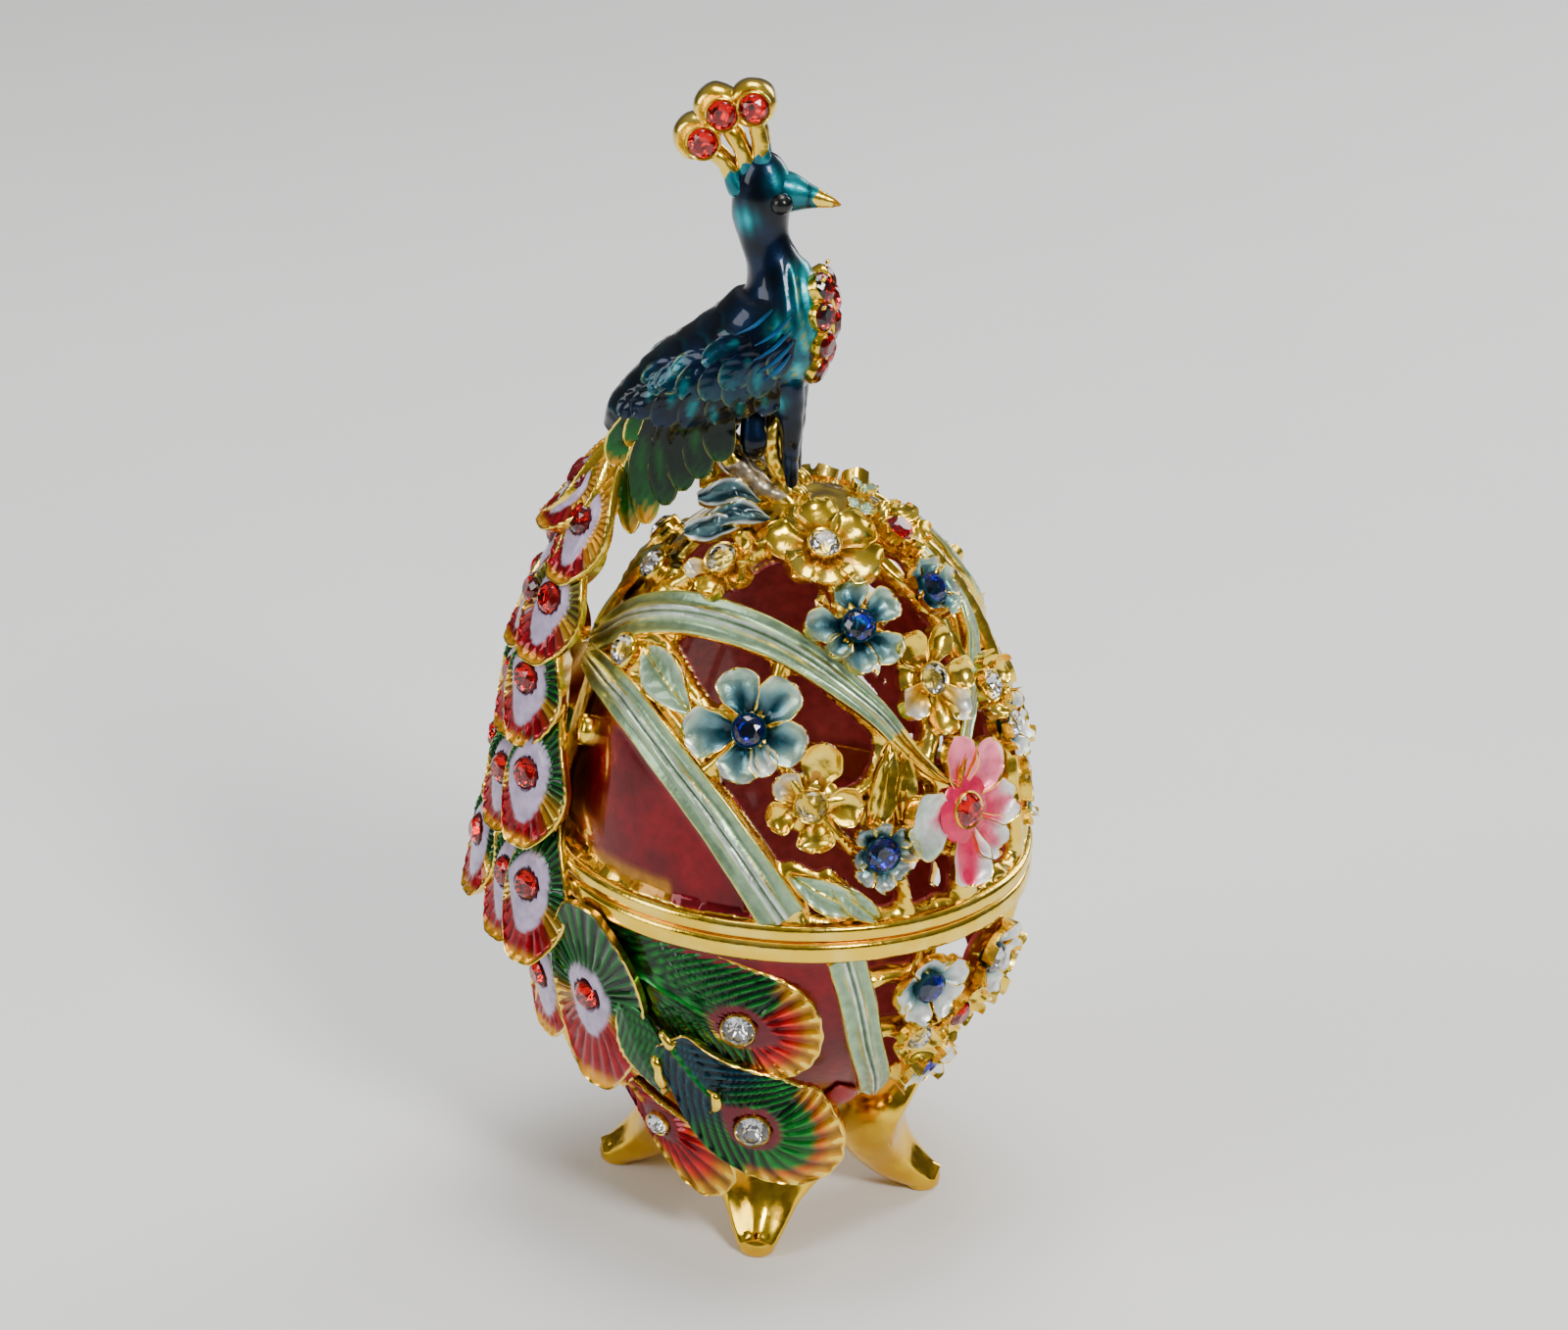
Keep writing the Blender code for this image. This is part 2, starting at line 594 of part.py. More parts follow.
def ring_in_side_view(centre, depth, half_width, direction, sides, y=0.0):
    """An oval ring whose plane is square to a direction in the XZ plane."""
    along = Vector((direction[0], 0, direction[1])).normalized()
    face = Vector((0, 1, 0)).cross(along)
    middle = Vector((centre[0], y, centre[1]))
    return [middle + face * depth * math.cos(a) + Vector((0, 1, 0)) * half_width * math.sin(a)
            for a in [2 * math.pi * i / sides for i in range(sides)]]


def side_view_rod(name, points, depths, half_widths, sides, y=0.0):
    """A rod through (x, z) points, oval in section."""
    rings = []
    for i, (p, depth, w) in enumerate(zip(points, depths, half_widths)):
        a, b = points[max(i - 1, 0)], points[min(i + 1, len(points) - 1)]
        rings.append(ring_in_side_view(p, depth, w, (b[0] - a[0], b[1] - a[1]), sides, y))
    return loft(name, rings)


def bird_parts():
    """Head, beak, crest, wings, coverts, legs and branch, to be joined to the body."""
    parts = [loft("beak", [ring_in_side_view(c, d, w, (1, -0.15), 8) for c, d, w in BEAK])]
    for (x, z), r in CREST_KNOBS:
        rings = []
        for y, share in ((-CREST_T, 0.8), (0, 1.0), (CREST_T, 0.8)):
            rings.append([Vector((x + r * share * math.cos(a), y, z + r * share * math.sin(a)))
                          for a in [math.pi * i / 4 for i in range(8)]])
        parts.append(loft("crest_knob", rings))
        parts.append(side_view_rod("crest_stem", [CREST_ROOT, (x, z)], [0.9, 1.0],
                                   [1.0, 0.9], 6))
    for y in (-1, 1):
        path = [Vector((WING_ROOT[0] + (WING_TIP[0] - WING_ROOT[0]) * t,
                        y * (WING_OUT * math.sin(math.pi * (0.3 + 0.45 * t)) + 0.9),
                        WING_ROOT[1] + (WING_TIP[1] - WING_ROOT[1]) * t + 1.2 * math.sin(3 * t)))
                for t in [i / 5 for i in range(6)]]
        widths = [max(0.8, WING_W / 2 * math.sin(math.pi * (0.14 + 0.72 * t)) ** 0.7)
                  for t in [i / 5 for i in range(6)]]
        parts.append(strip("wing", path, [Vector((0, y, 0))] * 6, widths, 0.2, 2.4, 0.14))
        parts.append(side_view_rod("leg", [LEG_TOP, (-1.8, 43), LEG_FOOT],
                                   [2.4, 1.2, 0.9], [1.8, 1.2, 0.9], 6, y * 2.4))
        parts.append(side_view_rod("thigh", [(-6.0, 46), (-5.9, 42.6), (-5.8, 40.2)],
                                   [2.6, 2.0, 0.9], [2.0, 1.8, 0.9], 6, y * 2.6))
        for k, (root, tip) in enumerate(COVERTS):
            depth = y * (4.0 - 0.7 * k)
            path = [Vector((root[0] + (tip[0] - root[0]) * t, depth,
                            root[1] + (tip[1] - root[1]) * t)) for t in (0, 0.35, 0.7, 1)]
            parts.append(strip("covert", path, [Vector((0, y, 0))] * 4, [1.6, 1.8, 1.7, 0.8],
                               0.5, 2.4, 0.1))
    parts.append(side_view_rod("branch", BRANCH, [1.5, 1.3, 1.2], [2.6, 2.6, 2.4], 8))
    return parts


def bird():
    made = loft("peacock", [ring_in_side_view(c, d, w, axis, BIRD_SIDES)
                            for c, d, w, axis in BIRD_RINGS])
    helpers("bird_parts", bird_parts(), made, "UNION")
    return made


def upper_train():
    made = train_core("upper_train", UPPER_CORE)
    helpers("upper_feathers", feathers(HANGING, HANGING_MIDDLE), made, "UNION")
    return made


def lower_train():
    """The feathers on the bowl: some hang like those above, some are fanned sideways."""
    made = train_core("lower_train", LOWER_CORE)
    parts = feathers(LOWER_HANGING, LOWER_MIDDLE)
    for name, root, tip, width, tilt in FANNED:
        parts.append(fanned(name, root, tip, width, tilt))
        left_root, left_tip = (-root[0], *root[1:]), (-tip[0], *tip[1:])
        parts.append(fanned(name + "_left", left_root, left_tip, width, tilt))
    girdle = [(-156, -11), (-138, -13), (-118, -16.5)]
    for pairs in (girdle, mirror_pairs(girdle)):
        parts.append(shell_strip("girdle", pairs, 7, lambda t: 5.5 - 2.5 * t, 2.4, -0.6))
    helpers("lower_feathers", parts, made, "UNION")
    return made


def place_stones(paints):
    """Every stone that is a piece of its own: on flowers, crest and feathers."""
    for name, azimuth, z, *_, colour in flowers():
        seat = on_shell(azimuth, z)
        up = shell_normal(seat)
        stone("stone_" + name, seat + up * (SEAT_H + FIT), up, paints[colour])
    for k, ((x, z), _) in enumerate(CREST_KNOBS):
        stone(f"stone_crest_{k + 1}", Vector((x, -CREST_T - FIT, z)), Vector((0, -1, 0)),
              paints["red"])
    for name, eye, _, _, facing, lean in [*HANGING, *HANGING_MIDDLE, *LOWER_HANGING[:2]]:
        stone("stone_" + name, Vector(eye), hang(facing, lean)[1], paints["red"])
    for name, root, tip, _, tilt in FANNED:
        seat, up = fan_place(root, tip, tilt, FAN_EYE)
        stone("stone_" + name, seat + up * (FAN_T + FIT), up, paints["clear"])


def main():
    clear_scene()
    carrier = bpy.data.objects.new(CARRIER, None)
    carrier.location = Vector((AXIS_X, 0, SEAM_Z)) * MM
    bpy.context.scene.collection.objects.link(carrier)
    gold = material("gold_plate", (0.83, 0.61, 0.2), 0.22, 1.0)
    blue = material("blue_enamel", (0.01, 0.12, 0.18), 0.15, 0.4)
    green = material("green_enamel", (0.02, 0.2, 0.09), 0.15, 0.4)
    stones = {"clear": material("clear_stone", (0.86, 0.87, 0.9), 0.05, 0.0),
              "red": material("red_stone", (0.6, 0.01, 0.02), 0.05, 0.0),
              "blue": material("blue_stone", (0.01, 0.02, 0.4), 0.05, 0.0)}
    lid, bowl = lid_shell(), bowl_shell()
    helpers("lid_cut", lid_windows(), lid, "DIFFERENCE")
    helpers("lid_work", openwork(True), lid, "UNION")
    helpers("bowl_cut", bowl_windows(), bowl, "DIFFERENCE")
    helpers("bowl_work", openwork(False), bowl, "UNION")
    feet = [foot(name, azimuth) for name, azimuth in FEET]
    for made, paint in ((lid, gold), (bowl, gold), (bird(), blue), (upper_train(), green),
                        (lower_train(), green), *[(piece, gold) for piece in feet]):
        made.data.materials.append(paint)
        tidy = made.modifiers.new("flat_faces_made_one", "DECIMATE")
        tidy.decimate_type = "DISSOLVE"
        tidy.angle_limit = math.radians(FLAT_DEG)
    place_stones(stones)


main()
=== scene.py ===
"""The looks of the jewelled egg trinket box: gold-plated castings, painted enamel and set stones.

Lengths are in millimetres in the part's seam frame: the egg's axis is Z, z = 0 is the seam where
lid and bowl meet, the bird looks along +X and its train falls down the -X side. An azimuth is
measured round the axis from +X, so -90 is the right side. What the left side repeats is mirrored.
"""

import math

import bmesh
import bpy
import numpy as np
from mathutils import Matrix, Vector, noise


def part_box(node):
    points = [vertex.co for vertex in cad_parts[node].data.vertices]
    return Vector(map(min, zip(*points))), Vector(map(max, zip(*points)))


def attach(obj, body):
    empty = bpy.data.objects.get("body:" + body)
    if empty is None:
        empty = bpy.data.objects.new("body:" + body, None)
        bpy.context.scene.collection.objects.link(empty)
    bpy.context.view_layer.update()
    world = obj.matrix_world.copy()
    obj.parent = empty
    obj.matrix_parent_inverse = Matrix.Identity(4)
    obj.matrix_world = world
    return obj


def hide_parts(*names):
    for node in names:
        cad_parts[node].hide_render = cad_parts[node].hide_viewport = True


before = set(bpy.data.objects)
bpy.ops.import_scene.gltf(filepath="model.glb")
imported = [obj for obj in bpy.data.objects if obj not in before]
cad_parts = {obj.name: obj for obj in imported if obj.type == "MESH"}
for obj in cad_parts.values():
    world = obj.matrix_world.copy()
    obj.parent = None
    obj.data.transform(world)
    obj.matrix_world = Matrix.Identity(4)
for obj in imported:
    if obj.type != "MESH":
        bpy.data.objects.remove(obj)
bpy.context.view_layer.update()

MM = 0.001
BODY = "root"

# The castings, as in the part.
EGG_R = 23.6
LID_H = 37.6
BOWL_D = 29.4
WALL = 1.2
BAND_R = 25.0
HALF_GAP = 0.15
SEAM_Z = 39.5
LIP_R = 21.9
STONE_R = 1.55
FOOT_R = 18.0

lid_low, lid_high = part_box("lid")
SEAM_CENTRE = Vector(((lid_low.x + lid_high.x) / 2, 0, lid_low.z - HALF_GAP * MM))


def srgb(red, green, blue):
    """A colour given in 0 to 255 display values, as the linear values that shaders take."""
    share = np.array([red, green, blue]) / 255
    return np.where(share <= 0.04045, share / 12.92, ((share + 0.055) / 1.055) ** 2.4)


MAROON = srgb(184, 76, 78)
PANEL_RED = srgb(92, 0, 10)
NAVY = srgb(0, 24, 52)
INK = srgb(0, 8, 20)
TEAL_DEEP = srgb(0, 58, 72)
TURQUOISE = srgb(0, 178, 190)
LEAF_TEAL = srgb(118, 148, 108)
PALE_TEAL = srgb(160, 188, 162)
SLATE_TEAL = srgb(96, 140, 146)
OLIVE = srgb(128, 138, 48)
PEARL = srgb(226, 232, 228)
PINK = srgb(244, 118, 146)
HOT_PINK = srgb(222, 16, 82)
LEMON = srgb(240, 190, 60)
GREEN = srgb(0, 66, 18)
DARK_GREEN = srgb(0, 24, 12)
BRIGHT_GREEN = srgb(0, 112, 30)
LAVENDER = srgb(176, 160, 190)
CRIMSON = srgb(134, 0, 18)
SCARLET = srgb(214, 14, 8)
ORANGE = srgb(206, 84, 0)
AMBER = srgb(222, 154, 12)
TEAR_MAROON = srgb(88, 0, 20)
STROKE_BLUE = srgb(0, 92, 146)
BARK = srgb(104, 92, 72)
BARK_PALE = srgb(196, 184, 160)


def unit(v):
    return v / np.maximum(np.linalg.norm(v, axis=-1, keepdims=True), 1e-12)


def smooth(t):
    """0 below 0, 1 above 1, and a smooth step between."""
    t = np.clip(t, 0, 1)
    return t * t * (3 - 2 * t)


def bump(x, width):
    return np.exp(-((x / width) ** 2))


def mixed(share, first, second):
    share = np.asarray(share)[..., None]
    return first + (second - first) * share


def ramp(t, *stops):
    """Colours along t from (place, colour) stops."""
    places = [place for place, _ in stops]
    return np.stack([np.interp(t, places, [c[k] for _, c in stops]) for k in range(3)], -1)


def egg_height(z):
    return np.where(np.asarray(z) >= 0, LID_H, BOWL_D)


def on_egg(azimuth, z):
    a = np.radians(azimuth)
    r = EGG_R * np.sqrt(np.clip(1 - (z / egg_height(z)) ** 2, 0, 1))
    return np.stack([r * np.cos(a), r * np.sin(a), np.asarray(z) + 0 * r], -1)


def egg_normal(p):
    h = egg_height(p[..., 2])
    return unit(np.stack([p[..., 0] / EGG_R**2, p[..., 1] / EGG_R**2, p[..., 2] / h**2], -1))


def settle(p, lift=0.0):
    """Moves points along the ray from the centre onto the egg, then lifts them."""
    h = egg_height(p[..., 2])
    far = np.sqrt((p[..., 0] ** 2 + p[..., 1] ** 2) / EGG_R**2 + (p[..., 2] / h) ** 2)
    landed = p / far[..., None]
    return landed + egg_normal(landed) * np.asarray(lift)[..., None]


def spline(points, count):
    """A smooth curve through the points, read at count places."""
    points = np.asarray(points, float)
    ends = np.concatenate([[2 * points[0] - points[1]], points, [2 * points[-1] - points[-2]]])
    place = np.linspace(0, len(points) - 1, count)
    k = np.minimum(place.astype(int), len(points) - 2)
    t = (place - k)[:, None] if points.ndim > 1 else place - k
    a, b, c, d = ends[k], ends[k + 1], ends[k + 2], ends[k + 3]
    return 0.5 * (2 * b + (c - a) * t + (2 * a - 5 * b + 4 * c - d) * t**2
                  + (3 * b - a - 3 * c + d) * t**3)


def egg_path(pairs, count):
    azimuths, heights = zip(*pairs)
    return settle(spline(on_egg(np.array(azimuths, float), np.array(heights, float)), count))


def mirrored(pairs):
    return [(-azimuth, z) for azimuth, z in pairs]


def circle(count):
    return np.linspace(0, 2 * math.pi, count, endpoint=False)


def spokes_of(count):
    """Directions round a feather's eye, from straight up through the tip at 0."""
    return np.linspace(-math.pi, math.pi, count, endpoint=False)


def both_sides(stems):
    return [*stems, *[(mirrored(pairs), width) for pairs, width in stems]]


def rough(points, size, seed=0.0):
    """Smooth noise between -1 and 1 with bumps of about this size, read at each point."""
    shift = Vector((seed, 2.7 * seed, -seed))
    flat = points.reshape(-1, 3) / size
    return np.array([noise.noise(Vector(p) + shift) for p in flat]).reshape(points.shape[:-1])


# Meshes: a part is points, faces and a finish for each point.

WELD = 1e-7
SHARP_ANGLE = 48
BACK_SHARE = 0.92
BARE = (-1.0,)
FOILED = 0.85
UP = np.array([0, 0, 1.0])


def part(points, faces, cell=-1.0, paint=(0.0, 0.0, 0.0), foil=0.0):
    """cell is how many millimetres inside an enamel cell a point lies, below 0 on bare gold.
    paint is the enamel's colour, and foil is 1 where the enamel is clear over metal."""
    count = len(points)
    return {"points": points, "faces": list(faces),
            "cell": np.array(np.broadcast_to(cell, count), float),
            "paint": np.array(np.broadcast_to(paint, (count, 3)), float),
            "foil": np.array(np.broadcast_to(foil, count), float)}


def backed_part(points, faces, finish, shape, behind, under=None):
    """A part whose first points have a finish and whose last ones, behind, are bare or under."""
    cell, paint, foil = finish
    return part(points, faces,
                np.concatenate([np.broadcast_to(cell, shape).ravel(),
                                np.full(behind, -1.0 if under is None else 1.0)]),
                np.concatenate([np.broadcast_to(paint, (*shape, 3)).reshape(-1, 3),
                                np.zeros((behind, 3)) + (0 if under is None else under)]),
                np.concatenate([np.broadcast_to(foil, shape).ravel(), np.zeros(behind)]))


def grid_faces(rows, columns, closed=False, start=0):
    r = np.arange(rows - 1)[:, None]
    c = np.arange(columns if closed else columns - 1)[None, :]
    a = start + r * columns + c
    b = start + r * columns + (c + 1) % columns
    return np.stack([a, b, b + columns, a + columns], -1).reshape(-1, 4).tolist()


def capped_faces(rows, columns):
    """The faces of rings joined into a rod with flat ends."""
    last = (rows - 1) * columns
    ends = [list(range(columns)), list(range(last, last + columns))]
    return grid_faces(rows, columns, closed=True) + ends


def piece(name, parts, material, slot, replaces=()):
    """Joins parts into one object, in place, that rides with the box."""
    faces, start = [], 0
    for given in parts:
        faces += [[i + start for i in face] for face in given["faces"]]
        start += len(given["points"])
    joined = {key: np.concatenate([p[key] for p in parts])
              for key in ("points", "cell", "paint", "foil")}
    mesh = bpy.data.meshes.new(name)
    placed = joined["points"] * MM + np.array(SEAM_CENTRE)
    mesh.from_pydata(placed.tolist(), [], faces)
    for key in ("cell", "foil"):
        layer = mesh.attributes.new(key, "FLOAT", "POINT")
        layer.data.foreach_set("value", joined[key].astype(np.float32))
    layer = mesh.attributes.new("paint", "FLOAT_COLOR", "POINT")
    rgba = np.concatenate([joined["paint"], np.ones((start, 1))], 1)
    layer.data.foreach_set("color", rgba.astype(np.float32).ravel())
    work = bmesh.new()
    work.from_mesh(mesh)
    bmesh.ops.remove_doubles(work, verts=work.verts, dist=WELD)
    bmesh.ops.recalc_face_normals(work, faces=work.faces)
    work.to_mesh(mesh)
    work.free()
    mesh.shade_smooth()
    mesh.set_sharp_from_angle(angle=math.radians(SHARP_ANGLE))
    mesh.materials.append(material)
    placed_piece(name, mesh, replaces)


def put(name, data):
    made = bpy.data.objects.new(name, data)
    bpy.context.scene.collection.objects.link(made)
    return made


def placed_piece(name, mesh, replaces):
    made = put(name, mesh)
    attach(made, BODY)
    if replaces:
        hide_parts(*replaces)


def blade(path, ups, half, relief, finish, across=15, thick=0.45, under=None):
    """A closed plate along a path. relief and finish take u across from -1 to 1, v along from
    0 to 1, x in millimetres from the middle line and w, the half width there. under is the
    enamel on its back, which is bare gold without one."""
    side = unit(np.cross(np.gradient(path, axis=0), ups))
    u, v = np.meshgrid(np.sin(np.linspace(-math.pi / 2, math.pi / 2, across)),
                       np.linspace(0, 1, len(path)))
    w = np.broadcast_to(half[:, None], u.shape)
    x = u * w
    lift = relief(u, v, x, w)
    middle, side, ups = path[:, None], side[:, None], ups[:, None]
    top = middle + side * x[..., None] + ups * lift[..., None]
    few = [0, across // 4, across // 2, across - 1 - across // 4, across - 1]
    low = np.minimum(lift, np.median(lift))[:, few] - thick
    back = middle + side * (x[:, few] * BACK_SHARE)[..., None] + ups * low[..., None]
    rows, count, columns = u.shape[0], u.size, len(few)
    a = np.arange(rows - 1) * across
    b = count + np.arange(rows - 1) * columns
    left = np.stack([a, a + across, b + columns, b], -1)
    right = left + [across - 1, across - 1, columns - 1, columns - 1]
    faces = grid_faces(rows, across) + grid_faces(rows, columns, start=count)
    faces += left.tolist() + right.tolist()
    last, last_low = count - across, count + (rows - 1) * columns
    faces += [[*range(across), *range(count + columns - 1, count - 1, -1)],
              [*range(last, count), *range(last_low + columns - 1, last_low - 1, -1)]]
    points = np.concatenate([top.reshape(-1, 3), back.reshape(-1, 3)])
    return backed_part(points, faces, finish(u, v, x, w), u.shape, rows * columns, under)


def tube(points, radii, count=24, sides=16, flat=(1.0, 1.0), facing=(0, 1, 0), bumps=0.0,
         finish=None):
    """A rod with rounded ends through points, oval where flat says so."""
    path = spline(points, count)
    r = spline(radii, count)
    ahead = unit(np.gradient(path, axis=0))
    side = unit(np.cross(ahead, np.array(facing, float)))
    over = np.cross(side, ahead)
    caps = 4
    turn = np.linspace(0, math.pi / 2, caps + 1)[1:]
    start = [(path[0] - ahead[0] * r[0] * math.sin(t), r[0] * math.cos(t)) for t in turn]
    end = [(path[-1] + ahead[-1] * r[-1] * math.sin(t), r[-1] * math.cos(t)) for t in turn]
    centres = [*start[::-1], *zip(path, r), *end]
    frames = [0] * caps + list(range(count)) + [count - 1] * caps
    a = circle(sides)
    rings = []
    for (centre, radius), k in zip(centres, frames):
        offset = (side[k] * (np.cos(a) * flat[0])[:, None]
                  + over[k] * (np.sin(a) * flat[1])[:, None])
        rings.append(centre + offset * max(radius, 1e-4))
    rings = np.array(rings)
    if bumps:
        rings = rings + unit(rings - np.array([c for c, _ in centres])[:, None]) \
            * (rough(rings, 1.1) * bumps)[..., None]
    flat_points = rings.reshape(-1, 3)
    faces = grid_faces(len(rings), sides, closed=True)
    if finish is None:
        return part(flat_points, faces)
    return part(flat_points, faces, *finish(flat_points))


def lathe(profile, centre=(0, 0, 0), up=UP, sides=32, closed=False, finish=BARE):
    """Turns (r, height) points about an axis through centre."""
    up = np.array(up, float)
    across = unit(np.cross(up, [0.31, 0.95, 0.05]))
    over = np.cross(up, across)
    a = circle(sides)
    ring = across * np.cos(a)[:, None] + over * np.sin(a)[:, None]
    rows = np.array([ring * max(r, 1e-5) + up * h for r, h in profile]) + np.array(centre)
    faces = grid_faces(len(rows), sides, closed=True)
    if closed:
        last = sides * (len(rows) - 1)
        faces += [[i, (i + 1) % sides, (i + 1) % sides + last, i + last] for i in range(sides)]
    return part(rows.reshape(-1, 3), faces, *finish)


# Materials.

class Nodes:
    """A material or a world under construction, with short ways to add and join nodes."""

    def __init__(self, owner, surface):
        owner.use_nodes = True
        self.owner = owner
        self.tree = owner.node_tree
        self.surface = self.tree.nodes[surface]

    def feed(self, socket, value):
        if isinstance(value, bpy.types.NodeSocket):
            self.tree.links.new(value, socket)
        else:
            socket.default_value = value

    def add(self, kind, feeds=None, **settings):
        node = self.tree.nodes.new("ShaderNode" + kind)
        for key, value in settings.items():
            setattr(node, key, value)
        for key, value in (feeds or {}).items():
            self.feed(node.inputs[key], value)
        return node

    def value(self, name):
        return self.add("Attribute", attribute_name=name).outputs["Fac"]

    def colour(self, name):
        return self.add("Attribute", attribute_name=name).outputs["Color"]

    def plus(self, first, second):
        return self.add("Math", {0: first, 1: second}, operation="ADD").outputs[0]

    def less(self, first, second):
        return self.add("Math", {0: first, 1: second}, operation="SUBTRACT").outputs[0]

    def times(self, first, second):
        return self.add("Math", {0: first, 1: second}, operation="MULTIPLY").outputs[0]

    def blend(self, share, first, second):
        return self.add("Mix", {0: share, 6: first, 7: second}, data_type="RGBA").outputs[2]

    def grain(self, size, detail=2.0):
        """Noise with features of this size in millimetres."""
        place = self.add("TexCoord").outputs["Object"]
        return self.add("TexNoise", {"Vector": place, "Scale": 1 / (size * MM),
                                     "Detail": detail}).outputs["Fac"]

    def step(self, value, low, high, first=0.0, last=1.0):
        return self.add("MapRange", {0: value, 1: low, 2: high, 3: first, 4: last},
                        interpolation_type="SMOOTHSTEP").outputs[0]

    def shape(self, height, depth):
        """A bumped normal, with its depth in millimetres."""
        feeds = {"Height": height, "Distance": depth * MM, "Strength": 1.0}
        return self.add("Bump", feeds).outputs["Normal"]

    def set(self, **values):
        for key, value in values.items():
            self.feed(self.surface.inputs[key.replace("_", " ")], value)
        return self.owner


def finish_named(name):
    return Nodes(bpy.data.materials.new(name), "Principled BSDF")


GOLD = (*srgb(242, 200, 52), 1)
GOLD_PALE = (*srgb(250, 218, 92), 1)
# The brown that the gold turns in its recesses: painted shade.
GOLD_RECESS_SHADE = (*srgb(134, 90, 8), 1)
GOLD_DEEP = (*srgb(226, 176, 46), 1)
CRYSTAL_INDEX = 1.6


def gold_colour(make, tone=GOLD, pale=GOLD_PALE):
    """Yellow plating, paler where it was rubbed, and brown in its recesses as painted shade."""
    edge = make.add("NewGeometry").outputs["Pointiness"]
    plated = make.blend(make.step(make.grain(3.0), 0.4, 0.7), tone, pale)
    return make.blend(make.step(edge, 0.40, 0.49, 1.0, 0.0), plated, GOLD_RECESS_SHADE)


def gold(name, roughness, bumps, tone=GOLD, pale=GOLD_PALE):
    make = finish_named(name)
    fine = make.grain(0.35, 3.0)
    soft = make.grain(1.6, 2.0)
    height = make.plus(make.times(fine, 0.35), soft)
    return make.set(Base_Color=gold_colour(make, tone, pale), Metallic=1.0,
                    Roughness=make.step(make.grain(0.9), 0.3, 0.7, roughness * 0.7,
                                        roughness * 1.4),
                    Normal=make.shape(height, bumps))


def enamel_on_gold(name, coat, bumps=0.05):
    """Enamel cells with gold between them, by the finish that each point carries."""
    make = finish_named(name)
    edge = make.times(make.less(make.grain(0.8), 0.5), 0.16)
    cell = make.plus(make.value("cell"), edge)
    inside = make.step(cell, -0.05, 0.05)
    thin = make.step(cell, 0.0, 0.45, 1.35, 1.0)
    mottle = make.step(make.grain(1.2, 3.0), 0.25, 0.75, 0.78, 1.18)
    tint = make.times(thin, mottle)
    paint = make.add("VectorMath", {0: make.colour("paint"), 3: tint}, operation="SCALE")
    foil = make.value("foil")
    shown = make.blend(inside, gold_colour(make), paint.outputs[0])
    metallic = make.less(1.0, make.times(inside, make.less(1.0, make.times(foil, 0.85))))
    matt = make.plus(0.16, make.times(inside, 0.14))
    height = make.plus(make.times(make.grain(0.35, 3.0), 0.4), make.grain(1.6))
    return make.set(Base_Color=shown, Metallic=metallic,
                    Roughness=make.plus(matt, make.times(make.grain(0.9), 0.1)),
                    Normal=make.shape(height, bumps), Specular_IOR_Level=0.25,
                    Coat_Weight=coat, Coat_IOR=1.36, Coat_Roughness=0.04)


def glass(name, tint):
    make = finish_named(name)
    shade = [c * 0.86 for c in tint]
    return make.set(Base_Color=make.blend(make.grain(1.3), (*tint, 1), (*shade, 1)),
                    Roughness=0.0, IOR=CRYSTAL_INDEX, Transmission_Weight=1.0)


def foil_paint(name, tint):
    make = finish_named(name)
    dark = [c * 0.7 for c in tint]
    return make.set(Base_Color=make.blend(make.grain(0.7), (*tint, 1), (*dark, 1)),
                    Metallic=1.0, Roughness=0.06)


POLISHED = gold("polished_gold", 0.16, 0.04)
SMOOTH = gold("smooth_gold", 0.17, 0.015, GOLD_DEEP, GOLD)
ENAMEL = enamel_on_gold("enamel_on_gold", 0.7)
PEARLED = enamel_on_gold("pearled_enamel_on_gold", 0.75, 0.08)
STONE_PAINTS = {
    "clear": (glass("clear_crown", (1.0, 1.0, 1.0)), foil_paint("silver_foil", (0.92, 0.92, 0.95))),
    "red": (glass("red_crown", (0.86, 0.0, 0.02)), foil_paint("red_foil", (0.88, 0.04, 0.05))),
    "blue": (glass("blue_crown", (0.0, 0.02, 0.6)), foil_paint("blue_foil", (0.08, 0.16, 0.95))),
}


# Ribbons: (azimuth, height) down each centre line on the right side.
RIBBON_HIGH = [(-176, 20.2), (-165, 22.6), (-154, 25.4), (-132, 28.0), (-113, 28.4), (-96, 27.7),
               (-82, 26.0), (-72, 23.9), (-63, 21.3), (-56, 18.2), (-49, 15.4), (-42, 13.4)]
RIBBON_LOW = [(-174, 18.8), (-154, 19.6), (-138, 18.9), (-120, 15.8), (-107, 12), (-97, 7.7),
              (-87, 2.2)]
RIBBON_FRONT = [(-18, 35), (-15, 31), (-13, 27.9), (-18, 25.2), (-27, 22), (-35, 18.6),
                (-42, 13.4)]
RIBBON_BOWL = [(-72, -2), (-68, -7), (-63, -13), (-56, -18), (-50, -21.5)]
RIBBON_LIFT = 0.75

# A dark leafy plant beside the perch: middle lines as (x, y, z), with the right side's y.
PLANT = [[(-3.2, -6.2, 36.3), (-6.0, -7.2, 37.2), (-9.4, -7.0, 36.2)],
         [(-4.4, -4.8, 37.6), (-7.2, -5.8, 38.8), (-10.4, -5.4, 37.6)],
         [(-5.6, -7.2, 36.2), (-8.4, -8.2, 35.9), (-11.4, -7.4, 34.8)]]

